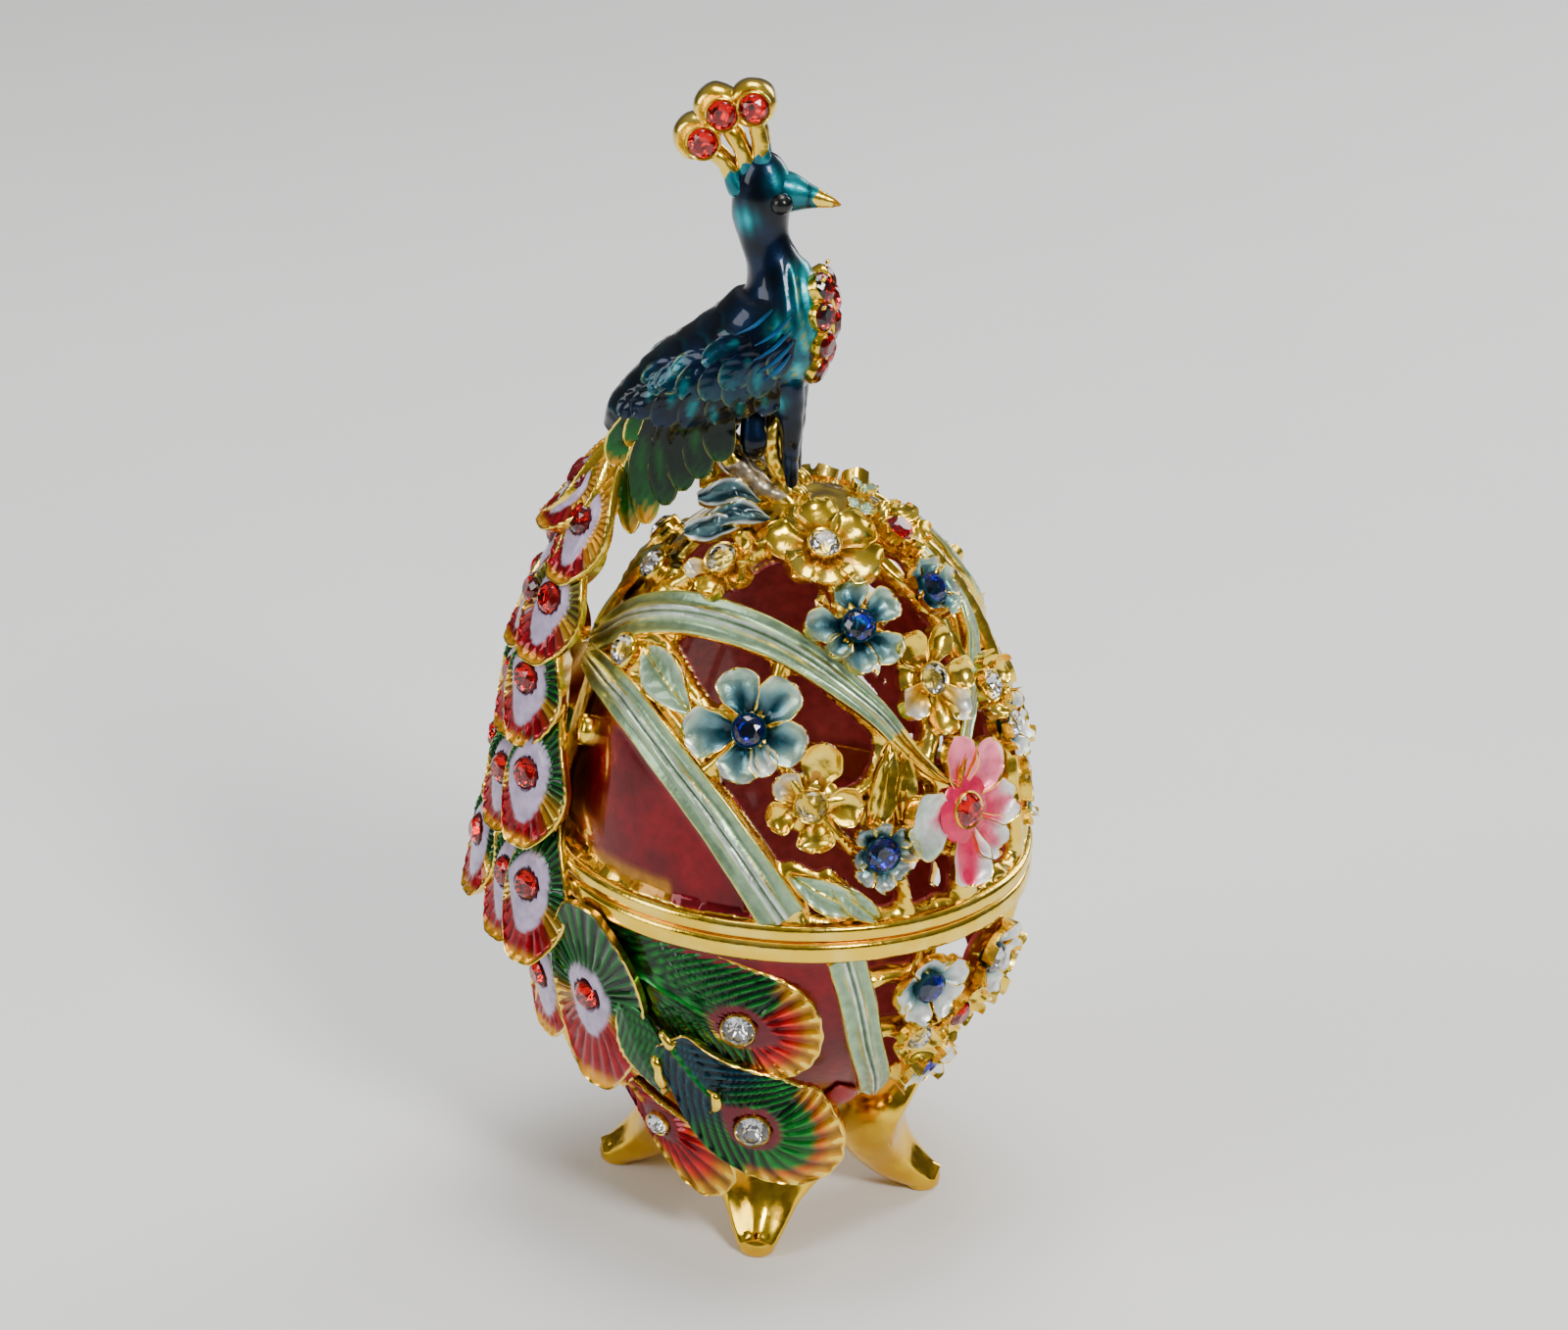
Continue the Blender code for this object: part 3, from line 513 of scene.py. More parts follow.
# Flowers: azimuth, height, radius, petals, turn in degrees, style, stone colour, stone radius.
RIGHT_FLOWERS = {
    "crown_gold": (-76.6, 34.5, 5.0, 5, 18, "gold", "clear", 1.55),
    "side_gold": (-126.7, 32.6, 4.2, 5, 50, "gold", "clear", 1.6),
    "upper_teal": (-66.7, 28.8, 4.9, 6, 80, "teal", "blue", 1.6),
    "shoulder_gold": (-44.6, 23.6, 4.7, 5, 60, "gold", "clear", 1.55),
    "front_teal": (-28.9, 30.2, 3.2, 5, 0, "teal", "blue", 1.55),
    "top_gold": (-21.9, 34.5, 3.2, 5, 30, "gold", "red", 1.55),
    "breast_gold": (-20.7, 20.8, 3.3, 5, 20, "gold", "clear", 1.5),
    "breast_pearl": (-13.6, 16.2, 3.3, 5, 50, "pearl", "clear", 1.5),
    "great_pink": (-39.8, 11.0, 7.8, 5, 90, "pink", "red", 1.75),
    "great_teal": (-98.9, 19.9, 6.2, 6, 15, "teal", "blue", 1.6),
    "window_gold": (-82.0, 13.5, 4.9, 5, 88, "gold", "clear", 1.55),
    "small_teal": (-64.7, 8.7, 3.5, 8, 0, "star", "blue", 1.75),
    "bowl_teal": (-49.2, -6.6, 4.2, 5, 30, "pearl", "blue", 1.6),
    "bowl_gold": (-48, -12.8, 3.2, 5, 0, "gold", "clear", 1.5),
    "bowl_red": (-34.8, -11.7, 3.2, 5, 50, "gold", "red", 1.5),
    "bowl_low": (-35, -18.6, 3.4, 5, 20, "pearl", "blue", 1.5),
    "bowl_pearl": (-24.4, -7.0, 4.0, 5, 60, "pearl", "clear", 1.55),
}

# Flowers on the middle line of the flowered end, the ones that the left side mirrors, and where
# a mirrored one stands elsewhere.
MIDDLE_FLOWERS = {
    "front_low": (0, 8.4, 4.8, 5, 90, "teal", "clear", 1.55),
    "bowl_middle": (0, -12.5, 4.6, 5, 90, "teal", "red", 1.55),
}
LEFT_FLOWERS = ("crown_gold", "upper_teal", "shoulder_gold", "great_pink", "great_teal",
                "window_gold", "bowl_teal", "bowl_red")
MOVED = {"crown_gold_left": (84, 33.2)}

# Stones set straight into the shell, without petals, and a plain gold disc.
PLAIN_STONES = [(-160.4, 29.6), (-146.8, 22.9)]
GOLD_DISC = (-153.5, 14.1)

# Leaves: name, then stalk, tip, width and whether it is enamelled.
LEAVES = [
    ("window_leaf", (-116.5, 20.2), (-139, 23.8), 4.9, True),
    ("rim_leaf", (-86, 6.6), (-70, 3.0), 3.4, True),
    ("rim_leaf_tip", (-77, 6.2), (-65, 1.9), 2.4, True),
    ("bud_leaf_back", (-60.5, 19.2), (-66.5, 10.6), 3.0, False),
    ("bud_leaf", (-57, 18.4), (-59, 11.0), 2.4, False),
    ("crown_leaf", (-44, 36.0), (-18, 36.6), 3.0, True),
    ("back_leaf", (-170, 31.0), (-179, 24.6), 3.6, True),
]

# Stems tie the flowers to the ribbons and the rim: a path of (azimuth, height), half width. The
# left side has the long and the short ones too.
LONG_STEMS = [
    ([(-150, 24), (-134, 25), (-116, 21.6), (-99.2, 20)], 0.75),
    ([(-99.2, 20), (-90, 17), (-81.6, 13.5), (-70, 8.5), (-60, 6.5), (-56, 2)], 0.7),
    ([(-99.2, 20), (-94, 24), (-90, 28.2)], 0.8),
    ([(-99.2, 20), (-106, 17), (-113, 14)], 0.8),
    ([(-81.6, 13.5), (-70, 14.5), (-62, 17), (-57, 18.8)], 0.8),
    ([(-82, 26.8), (-74, 24), (-62, 20.5), (-50, 15.5), (-42, 13.4), (-37.4, 10.4)], 1.0),
    ([(-38.5, 3.6), (-38, 2)], 1.6),
    ([(-146, 29.6), (-128, 32.9), (-112, 34.5), (-95, 35.4), (-76, 35.2)], 1.0),
    ([(-76, 35.2), (-72, 32), (-66.6, 29.3), (-74, 26.6), (-78, 25.6)], 0.9),
    ([(-66.6, 29.3), (-54, 27), (-43, 23.9), (-33, 23), (-25, 22.4)], 0.9),
    ([(-37.4, 10.4), (-20, 8), (0, 8.4)], 0.9),
    ([(-70, -6), (-60, -5), (-49.2, -6.6), (-42, -9), (-34.8, -11.7), (-18, -13), (0, -12.5)],
     0.9),
    ([(-34.8, -11.7), (-37, -16), (-38, -21)], 0.9),
    ([(-50, -1.5), (-49.2, -6.6), (-48, -12.8), (-42, -16), (-35, -18.6)], 1.1),
    ([(-150, 20), (-149, 25), (-152, 30)], 1.3),
]
SHORT_STEMS = [
    ([(-64, 8.6), (-52, 9), (-37.4, 10.4)], 0.7),
    ([(-43, 23.9), (-46, 19.5), (-50, 16)], 1.1),
    ([(-25, 30.6), (-20, 33), (-16, 35.1)], 1.1),
    ([(-25, 30.6), (-28, 27), (-25, 22.5)], 0.8),
    ([(-30, 20.6), (-19, 19.8), (-9.5, 15.5), (0, 14.5)], 1.2),
    ([(-34.8, -11.7), (-30, -9), (-24.4, -7), (-22, -2)], 1.1),
    ([(-64, -12), (-56, -12), (-48, -12.8), (-40, -12.5), (-34.8, -11.7)], 1.0),
    ([(-52, 34.6), (-40, 31.5), (-25, 30.6), (-14, 31)], 0.7),
    ([(-9.5, 15.5), (-12, 8), (-10, 2)], 1.1),
]
MIDDLE_STEMS = [
    ([(0, 35), (2, 28), (-1, 20), (0, 14.5), (0, 8.4), (0, 2)], 1.1),
    ([(0, -2), (0, -7), (0, -12.5), (0, -21)], 1.1),
]

# Where the far wall is whole: (azimuth, height, radius).
WALL_PATCHES = [(113, 17.5, 3.0), (96, 14.6, 3.0), (79, 3.6, 2.4), (66, 5.0, 2.4),
                (43, -18.0, 2.8)]

# The shells' mesh size, and where they are whole: the cap, the ledge at the rim, the base and
# the back beyond an azimuth. Then a quarter ellipse's length over its mean radius.
GRID_MM = 0.39
CAP_Z = 34.4
LEDGE_Z = 2.5
BASE_Z = 20.8
BACK_AZIMUTH = 158
QUARTER_ARC = 1.5748

# How high a stem stands, and how far the shell is whole round flowers and leaves, as shares of
# their sizes, and round plain stones. Then how sharply these join, how far from the seam the
# shell lies flat, and the height where the cap turns lumpy.
STEM_H = 0.75
FLOWER_PAD = 0.62
LEAF_PAD = 0.36
STONE_PAD = 2.4
JOIN = 4.0
FLAT_Z = 1.4
LUMPS_Z = 33.6


def flowers():
    """Every flower by name, the left ones as mirror pictures."""
    out = {**RIGHT_FLOWERS, **MIDDLE_FLOWERS}
    for name in LEFT_FLOWERS:
        azimuth, z, radius, petals, turn, *rest = RIGHT_FLOWERS[name]
        place = MOVED.get(name + "_left", (-azimuth, z))
        out[name + "_left"] = (*place, radius, petals, 180 - turn, *rest)
    return out


def distance_to(path, points):
    """How far each point is from a path, in millimetres."""
    best = np.full(points.shape[:-1], 1e9)
    for a, b in zip(path, path[1:]):
        run = b - a
        share = np.clip(((points - a) @ run) / max(run @ run, 1e-9), 0, 1)
        best = np.minimum(best, np.linalg.norm(points - a - share[..., None] * run, axis=-1))
    return best


def distance_from(azimuth, z, points):
    return np.linalg.norm(points - on_egg(azimuth, z), axis=-1)


def line_height(pairs, azimuth):
    """The height of a line of (azimuth, height) pairs at an azimuth."""
    azimuths, heights = zip(*sorted(pairs))
    return np.interp(azimuth, azimuths, heights)


def lattice_features(on_lid, points):
    """For each cast feature: how far inside it each point lies, and how high it stands there."""
    out = []
    stems = [*both_sides(LONG_STEMS), *both_sides(SHORT_STEMS), *MIDDLE_STEMS]
    twigs = rough(points, 0.9, 5.0)
    for pairs, width in stems:
        if (pairs[0][1] + pairs[-1][1] > 0) != on_lid:
            continue
        d = distance_to(egg_path(pairs, 7 * len(pairs)), points) + 0.16 * twigs
        out.append((width - d, STEM_H * np.sqrt(np.clip(1 - (d / width) ** 2, 0, 1))))
    ribbons = [(RIBBON_HIGH, 2.4, 1.1), (RIBBON_LOW, 2.4, 2.4), (RIBBON_FRONT, 1.4, 1.1)] \
        if on_lid else [(RIBBON_BOWL, 1.7, 1.6)]
    for pairs, first, last in ribbons:
        for side in (pairs, mirrored(pairs)):
            path = egg_path(side, 40)
            inside = np.max([half - distance_to(path[k * 10:k * 10 + 11], points)
                             for k, half in enumerate(np.linspace(first, last, 4))], axis=0)
            out.append((inside, 0.35 * smooth(inside / 0.5)))
    for azimuth, z, radius, *_ in flowers().values():
        if (z > 0) == on_lid:
            inside = FLOWER_PAD * radius - distance_from(azimuth, z, points)
            out.append((inside, 0.25 * smooth(inside)))
    for azimuth, z, radius in WALL_PATCHES:
        if (z > 0) == on_lid:
            d = distance_from(azimuth, z, points) + 0.5 * twigs
            out.append((radius - d, 0 * d))
    if on_lid:
        for _, stalk, tip, width, _ in LEAVES:
            for pairs in ([stalk, tip], mirrored([stalk, tip])):
                d = distance_to(egg_path(pairs, 8), points)
                out.append((LEAF_PAD * width - d, 0 * d))
        for azimuth, z in PLAIN_STONES:
            for side in (1, -1):
                inside = STONE_PAD - distance_from(side * azimuth, z, points)
                out.append((inside, 0.5 * smooth(inside / 0.8)))
    return out


def from_ribbons(pairs, count, points):
    """How far each point is from a ribbon's middle line on either side."""
    return np.minimum(distance_to(egg_path(pairs, count), points),
                      distance_to(egg_path(mirrored(pairs), count), points))


def behind_bowl_ribbon(around, z):
    return -around < line_height([(height, a) for a, height in RIBBON_BOWL], z)


def lid_panel(around, z, points):
    """How far inside the red panel under the low ribbon each point lies."""
    below = z < line_height([*RIBBON_LOW, (-86, -5)], -around)
    ledge = z - 1.9 - 2.4 * smooth((around - 124) / 34)
    back = (160 - around) * 0.4 + 0.5 * np.sin(z * 0.9)
    clear = from_ribbons(RIBBON_LOW, 40, points) - 2.3
    return np.where(below, np.minimum(np.minimum(clear, ledge), back), -1.0)


def bowl_panel(around, z, points):
    """How far inside the red panels of the bowl each point lies."""
    clear = from_ribbons(RIBBON_BOWL, 30, points) - 1.6
    inside = np.minimum(np.minimum(clear, -2.7 - z), z + 24.5)
    return np.where(behind_bowl_ribbon(around, z), inside, -1.0)


def any_near(solid):
    """Where a point of the grid or one of its neighbours is solid."""
    near = np.zeros_like(solid)
    for shift_p in (-1, 0, 1):
        for shift_a in (-1, 0, 1):
            near |= np.roll(np.roll(solid, shift_a, 1), shift_p, 0)
    return near


def corners(values):
    """A grid's values at the four corners of each of its quads."""
    return values[:-1], np.roll(values, -1, 1)[:-1], np.roll(values, -1, 1)[1:], values[1:]


def walled(quads, count):
    """Quads, the same ones count points further facing back, and walls along the open sides."""
    sides = np.concatenate([quads[:, [k, (k + 1) % 4]] for k in range(4)])
    keys = np.sort(sides, axis=1)
    keys = keys[:, 0] * count + keys[:, 1]
    _, first, number = np.unique(keys, return_index=True, return_counts=True)
    open_sides = sides[first[number == 1]]
    walls = np.concatenate([open_sides, open_sides[:, ::-1] + count], axis=1)
    return np.concatenate([quads, quads[:, ::-1] + count, walls])


def fretwork(on_lid):
    """The pierced shell: bare gold outside, maroon enamel within, red panels at the sides."""
    height = LID_H if on_lid else -BOWL_D
    columns = round(2 * math.pi * EGG_R / GRID_MM)
    rows = round(QUARTER_ARC * (EGG_R + abs(height)) / 2 / GRID_MM)
    p, a = np.meshgrid(np.linspace(0, math.pi / 2, rows),
                       np.linspace(-math.pi, math.pi, columns, endpoint=False), indexing="ij")

    def place(p, a):
        return np.stack([EGG_R * np.sin(p) * np.cos(a), EGG_R * np.sin(p) * np.sin(a),
                         height * np.cos(p)], -1)

    # The field is above 0 in the cast metal, and in millimetres where one feature is near.
    points = place(p, a)
    around, z = np.abs(np.degrees(a)), points[..., 2]
    features = lattice_features(on_lid, points)
    panel = (lid_panel if on_lid else bowl_panel)(around, z, points)
    rim = LEDGE_Z + 0.7 * rough(points, 3.6, 3.0) - np.abs(z)
    if on_lid:
        back = (around - BACK_AZIMUTH) * 0.4
        whole = np.max([z - CAP_Z, rim, panel + 0.5, back], axis=0)
    else:
        behind = np.where(behind_bowl_ribbon(around, z), 3.0, -3.0)
        whole = np.max([-z - BASE_Z, rim, behind], axis=0)
    stack = np.array([f for f, _ in features] + [whole])
    field = np.log(np.sum(np.exp(np.clip(JOIN * stack, -60, 20)), axis=0)) / JOIN
    lifts = np.max([lift for _, lift in features], axis=0)

    # Points just outside the metal move to its border, so that the openings are smooth.
    step_p = np.linalg.norm(np.diff(points, axis=0), axis=-1).mean()
    step_a = np.maximum(2 * math.pi * EGG_R * np.sin(p) / columns, 0.05)
    slope_p = np.gradient(field, axis=0) / step_p
    slope_a = (np.roll(field, -1, 1) - np.roll(field, 1, 1)) / (2 * step_a)
    solid = field > 0
    near = any_near(solid)
    edge = near & ~solid
    steep = np.maximum(slope_p**2 + slope_a**2, 0.09)
    move = np.where(edge, -field / steep, 0)
    furthest = 1.3 * GRID_MM
    move_p = np.clip(move * slope_p, -furthest, furthest)
    move_a = np.clip(move * slope_a, -furthest, furthest)
    p = p + move_p / step_p * (math.pi / 2) / (rows - 1)
    a = a + move_a / step_a * (2 * math.pi) / columns
    points = place(np.clip(p, 0, math.pi / 2), a)

    # The relief: stems and pads stand up, borders are rounded, and panels lie lower.
    depth = np.where(edge, 0, field)
    ledge = 0.5 * smooth(rim / 0.8) * (1 + 0.9 * rough(points, 0.75, 8.0))
    lift = np.maximum(lifts, ledge) - 0.35 * bump(depth, 0.3)
    lift = lift - 0.25 * smooth(panel / 0.5) + 0.08 * rough(points, 1.3, 1.0) * (panel < 0)
    lift = lift + 0.3 * rough(points, 2.2, 21.0) * smooth((z - LUMPS_Z) / 1.5)
    lift = np.where(np.abs(z) < FLAT_Z, 0, lift)
    normal = egg_normal(points)
    outer = points + normal * lift[..., None]
    inner = points - normal * WALL

    # The outer and the inner skin, joined round every opening.
    count = p.size
    kept = np.all(corners(near), axis=0) & np.any(corners(solid), axis=0)
    quads = np.stack(corners(np.arange(count).reshape(p.shape)), -1)[kept]
    faces = walled(quads, count)
    used = np.unique(faces)
    renumber = np.full(2 * count, -1)
    renumber[used] = np.arange(len(used))
    both = np.concatenate([outer.reshape(-1, 3), inner.reshape(-1, 3)])[used]

    # Bare gold or a red panel outside, and enamel inside.
    cell = np.concatenate([panel.ravel(), np.full(count, 1.0)])[used]
    red = mixed(smooth(rough(points, 5.0, 2.0) + 0.5) * 0.6, PANEL_RED, CRIMSON)
    corner = smooth((around - 112 + 8 * rough(points, 2.0, 7.0)) / 8)
    red = mixed(0.8 * corner * smooth((4.2 - z) / 1.2) * on_lid, red, AMBER * 0.6)
    paint = np.concatenate([red.reshape(-1, 3), np.tile(MAROON, (count, 1))])[used]
    shine = np.concatenate([np.full(count, 0.9), np.zeros(count)])[used]
    return part(both, renumber[faces].tolist(), cell, paint, shine)


def band(low, high, wobble_seed):
    """One of the two gold hoops at the seam, with a rounded edge and a hand-finished wobble."""
    inner = EGG_R - WALL
    profile = [(inner, low), (BAND_R - 0.25, low), (BAND_R - 0.05, low + 0.2),
               (BAND_R, low + 0.55), (BAND_R, high - 0.55), (BAND_R - 0.08, high - 0.2),
               (BAND_R - 0.3, high), (BAND_R - 0.9, high + 0.1), (inner, high)]
    made = lathe(profile, sides=180, closed=True)
    flat = made["points"][:, :2]
    r = np.linalg.norm(flat, axis=1)
    outside = smooth((r - inner) / 1.5)
    shrink = (0.07 * rough(made["points"], 4.0, wobble_seed) - 0.07) * outside
    made["points"][:, :2] *= (1 + shrink / r)[:, None]
    return made


def ribbon(name, pairs, widths, colours, gold_from=2.0, point=6.0):
    """A long leaf of pearled enamel with a doubled midrib between gold lines, the midrib painted
    silver as a highlight on its raised ribs. It is bare gold past gold_from, and point is how fast
    its end narrows, or 0 where it is cut straight."""
    count = 14 * len(pairs)
    path = egg_path(pairs, count)
    ups = egg_normal(path)
    path = path + ups * RIBBON_LIFT
    half = spline(widths, count) / 2
    half = half * np.minimum(1, 0.3 + point * np.linspace(1, 0, count)) if point else half

    def relief(u, v, x, w):
        ribs = bump(np.abs(u) - 0.17, 0.09)
        return (0.5 * np.sqrt(1.001 - u**2) - 0.25 + 0.3 * ribs - 0.12 * bump(u, 0.06)
                - 0.16 * bump(np.abs(u) - 0.5, 0.14) + 0.2 * bump(np.abs(u) - 0.88, 0.1)
                + 0.05 * np.sin(v * 37 + u * 3))

    def finish(u, v, x, w):
        wave = 0.02 * np.sin(21 * v + 4 * u)
        lines = np.minimum(np.abs(np.abs(u) - 0.3 + wave) - 0.03, 0.93 - np.abs(u)) * w
        cell = np.minimum(lines, (gold_from - v) * 12)
        # Painted highlight: the raised ribs of the midrib are painted silver, more in some places.
        silver = bump(np.abs(u) - 0.15, 0.1) * (0.75 + 0.25 * np.sin(9 * v + 3 * u))
        colour = mixed(0.5 * smooth(np.abs(u) * 1.4 - 0.2), ramp(v, *colours), PALE_TEAL)
        colour = mixed(0.6 * bump(np.abs(u) - 0.86, 0.08), colour, OLIVE * 1.6)
        return cell, mixed(0.8 * silver, colour, PEARL), FOILED

    made = blade(path, ups, half, relief, finish, across=29, thick=1.0)
    piece(name, [made], PEARLED, "blue_enamel")


def leaf_shape(t):
    return np.maximum(0.04, np.sin(math.pi * (0.05 + 0.9 * t) ** 1.25)) ** 0.8


def shell_leaf(name, ends, width, painted):
    """A leaf that lies on the fretwork from stalk to tip, folded along its midrib."""
    path = egg_path(ends, 30)
    ups = egg_normal(path)
    v = np.linspace(0, 1, 30)
    path = path + ups * (0.6 + 0.4 * np.sin(math.pi * v))[:, None]

    def relief(u, v, x, w):
        veins = (0.06 if painted else 0.02) * np.sin((np.abs(x) * 1.2 - v * 14) * 2.4)
        return (0.5 * np.abs(u) ** 1.4 - 0.3 + 0.24 * bump(u, 0.12) + veins
                + 0.12 * bump(np.abs(u) - 0.93, 0.08))

    def finish(u, v, x, w):
        cell = np.minimum((0.88 - np.abs(u)) * w, np.abs(u) * w - 0.09)
        colour = mixed(smooth(np.abs(u)), LEAF_TEAL, PALE_TEAL)
        return (cell if painted else -1.0), colour, 0.55

    made = blade(path, ups, leaf_shape(v) * width / 2, relief, finish, across=21, thick=0.6)
    piece(name, [made], *((PEARLED, "blue_enamel") if painted else (POLISHED, "gold_plate")))


def plant(side):
    """Gnarled dark leaves that climb beside the perch."""
    made = []
    for k, line in enumerate(PLANT):
        path = spline([(x, -side * y, z) for x, y, z in line], 26)
        v = np.linspace(0, 1, 26)
        ups = np.tile(unit(np.array([-0.1, side * 0.7, 0.7])), (26, 1))
        knots = rough(path, 1.3, 20.0 + k)

        def relief(u, v, x, w):
            return (0.3 * np.abs(u) ** 1.5 + 0.25 * bump(u, 0.14) + 0.2 * np.sin(9 * v + 4 * u + k)
                    + 0.3 * knots[:, None])

        def finish(u, v, x, w):
            worn = smooth(0.5 + 0.8 * np.sin(7 * v + 5 * u + 2 * k))
            colour = mixed(worn, TEAL_DEEP * 0.5, SLATE_TEAL * 0.55)
            colour = mixed(bump(np.abs(u) - 0.8, 0.1), colour, PEARL * 0.8)
            return (0.94 - np.abs(u)) * w, colour, 0.5

        made.append(blade(path, ups, leaf_shape(v) * 1.5, relief, finish, across=17, thick=0.8))
    return made


# Petals of the larger flowers: direction in degrees, length, width and colours.
PETALS = {
    "great_teal": [(52, 6.3, 4.6, "teal"), (110, 6.1, 4.4, "teal"), (190, 6.4, 5.0, "teal"),
                   (262, 5.2, 4.4, "teal"), (305, 4.8, 3.0, "pearl"), (-11, 5.9, 4.6, "teal")],
    "upper_teal": [(99, 4.7, 3.6, "teal"), (32, 4.7, 3.6, "teal"), (-46, 5.1, 3.4, "teal"),
                   (261, 4.9, 3.6, "teal"), (176, 5.5, 3.6, "teal"), (219, 4.4, 2.8, "teal")],
    "window_gold": [(78, 6.3, 4.0, "gold"), (1, 5.0, 4.0, "gold"), (279, 4.5, 3.7, "gold"),
                    (201, 4.5, 3.4, "gold"), (141, 4.4, 3.2, "silver")],
    "shoulder_gold": [(208, 5.4, 3.4, "silver"), (120, 5.4, 3.6, "gold"), (65, 5.4, 3.2, "gold"),
                      (-5, 5.0, 3.4, "gold"), (-56, 5.4, 3.4, "silver"), (267, 5.6, 3.4, "gold")],
    "crown_gold": [(99, 5.2, 4.4, "gold"), (24, 5.1, 5.0, "gold"), (-37, 6.1, 5.0, "gold"),
                   (275, 5.3, 4.2, "gold"), (228, 5.3, 4.2, "gold"), (178, 5.9, 4.8, "gold")],
    "side_gold": [(-18, 4.7, 3.0, "gold"), (-72, 4.6, 3.0, "gold"), (-128, 3.8, 2.6, "silver"),
                  (48, 3.8, 2.6, "gold")],
    "great_pink": [(98, 7.8, 4.4, "pink"), (52, 7.6, 5.4, "pink"), (-5, 6.8, 4.6, "blush"),
                   (-50, 6.8, 4.6, "blush"), (267, 7.8, 5.6, "hot"), (180, 8.2, 7.0, "shell")],
}

# The petals' enamel from root to tip, none on gold ones, and how far it is clear over metal.
# The darkest teal at the roots is partly painted shade in the hollow round the stone.
PETAL_STYLES = {
    "gold": (None, 1.0),
    "silver": ([(0, LEMON * 0.5), (0.4, LEMON * 0.8), (0.75, PEARL * 0.8), (1, PEARL)], 0.7),
    "teal": ([(0, TEAL_DEEP * 0.4), (0.3, TEAL_DEEP * 0.9), (0.52, SLATE_TEAL), (0.74, PALE_TEAL),
              (0.86, PEARL * 0.8), (1, PEARL)], 0.85),
    "star": ([(0, TEAL_DEEP * 0.8), (0.4, SLATE_TEAL), (0.75, PEARL * 0.8), (1, PEARL)], 0.85),
    "pearl": ([(0, TEAL_DEEP), (0.3, SLATE_TEAL), (0.6, PEARL * 0.85), (1, PEARL)], 0.35),
    "pink": ([(0, HOT_PINK), (0.22, HOT_PINK), (0.45, PINK), (0.85, PINK * 1.25), (1, PEARL)], 0.3),
    "hot": ([(0, HOT_PINK), (0.5, HOT_PINK), (0.62, PINK), (0.8, PEARL), (1, PEARL)], 0.3),
    "blush": ([(0, HOT_PINK), (0.35, HOT_PINK), (0.6, PINK), (0.8, PEARL), (1, PEARL)], 0.3),
    "shell": ([(0, PINK), (0.25, PINK * 0.8), (0.45, PEARL * 0.9), (0.8, PALE_TEAL), (1, PEARL)],
              0.35),
}


def petal(centre, up, out, start, length, width, style, seed):
    """One spoon-shaped petal: narrow foot, creased bowl and a rolled, wavy rim."""
    rows = 22
    t = np.linspace(0, 1, rows)
    along = start + (length - start) * t
    rise = 0.45 + 0.85 * np.sin(1.9 * t) - along**2 / 90 + 0.12 * math.sin(seed * 2.1) * t
    path = centre + out * along[:, None] + up * rise[:, None]
    ups = np.tile(up, (rows, 1))
    belly = np.where(t < 0.64, 0.36 + 0.64 * smooth(t / 0.64),
                     np.sqrt(np.clip(1 - ((t - 0.64) / 0.366) ** 2, 0, 1)))
    belly = belly * (1 + 0.05 * np.sin(15 * t + seed))
    stops, shine = PETAL_STYLES[style]
    lean = 0.35 * math.sin(seed * 1.7)

    def edge(u, v, w):
        return np.minimum((1 - np.abs(u)) * w, (1 - v) * (length - start) * 0.85)

    def relief(u, v, x, w):
        grown = 0.35 + 0.65 * smooth(v / 0.5)
        curl = 0.55 * smooth((v - 0.66) / 0.34) ** 1.5
        ruffle = 0.2 * u**2 * np.sin(8 * v + seed + 1.7 * (u > 0))
        creases = 0.2 * bump(u, 0.11) * (1.05 - v) + 0.09 * bump(np.abs(u) - 0.42, 0.1) * (1 - v)
        return (0.85 * np.abs(u) ** 2.2 * grown + curl * (1 - 0.5 * u**2) + ruffle - creases
                + lean * u * v + 0.14 * bump(edge(u, v, w) - 0.14, 0.13) - 0.2)

    def finish(u, v, x, w):
        if stops is None:
            # Gold petals turn dark brown in the throat by the stone: partly amber lacquer, partly
            # painted shade.
            shaded_throat = 0.5 - v - 0.3 * np.abs(u) + 0.06 * np.sin(9 * v + 7 * u + seed)
            return 3 * shaded_throat, mixed(smooth(2 * v), AMBER * 0.2, AMBER * 0.55), 1.0
        bow = 0.72 * v + 0.28 * np.abs(u) * smooth(v * 2) + 0.05 * np.sin(7 * v + 5 * u + seed)
        if style == "hot":
            bow = 0.35 * v + 0.75 * np.abs(u)
        return edge(u, v, w) - 0.13, ramp(np.clip(bow, 0, 1), *stops), shine

    return blade(path, ups, belly * width / 2, relief, finish, across=15, thick=0.45)


def setting(centre, up, radius, lift, rim=0.2, finish=BARE):
    """The thin cup that grips a stone."""
    profile = [(0.2, -1.6), (radius + 0.5 * rim, -1.5), (radius + rim, -0.2),
               (radius + rim, 0.1), (radius + 0.5 * rim, 0.24), (radius - 0.06, 0.16),
               (radius - 0.1, -0.2), (0.3 * radius, -1.2)]
    return lathe([(r, h + lift) for r, h in profile], centre, up, sides=28, finish=finish)


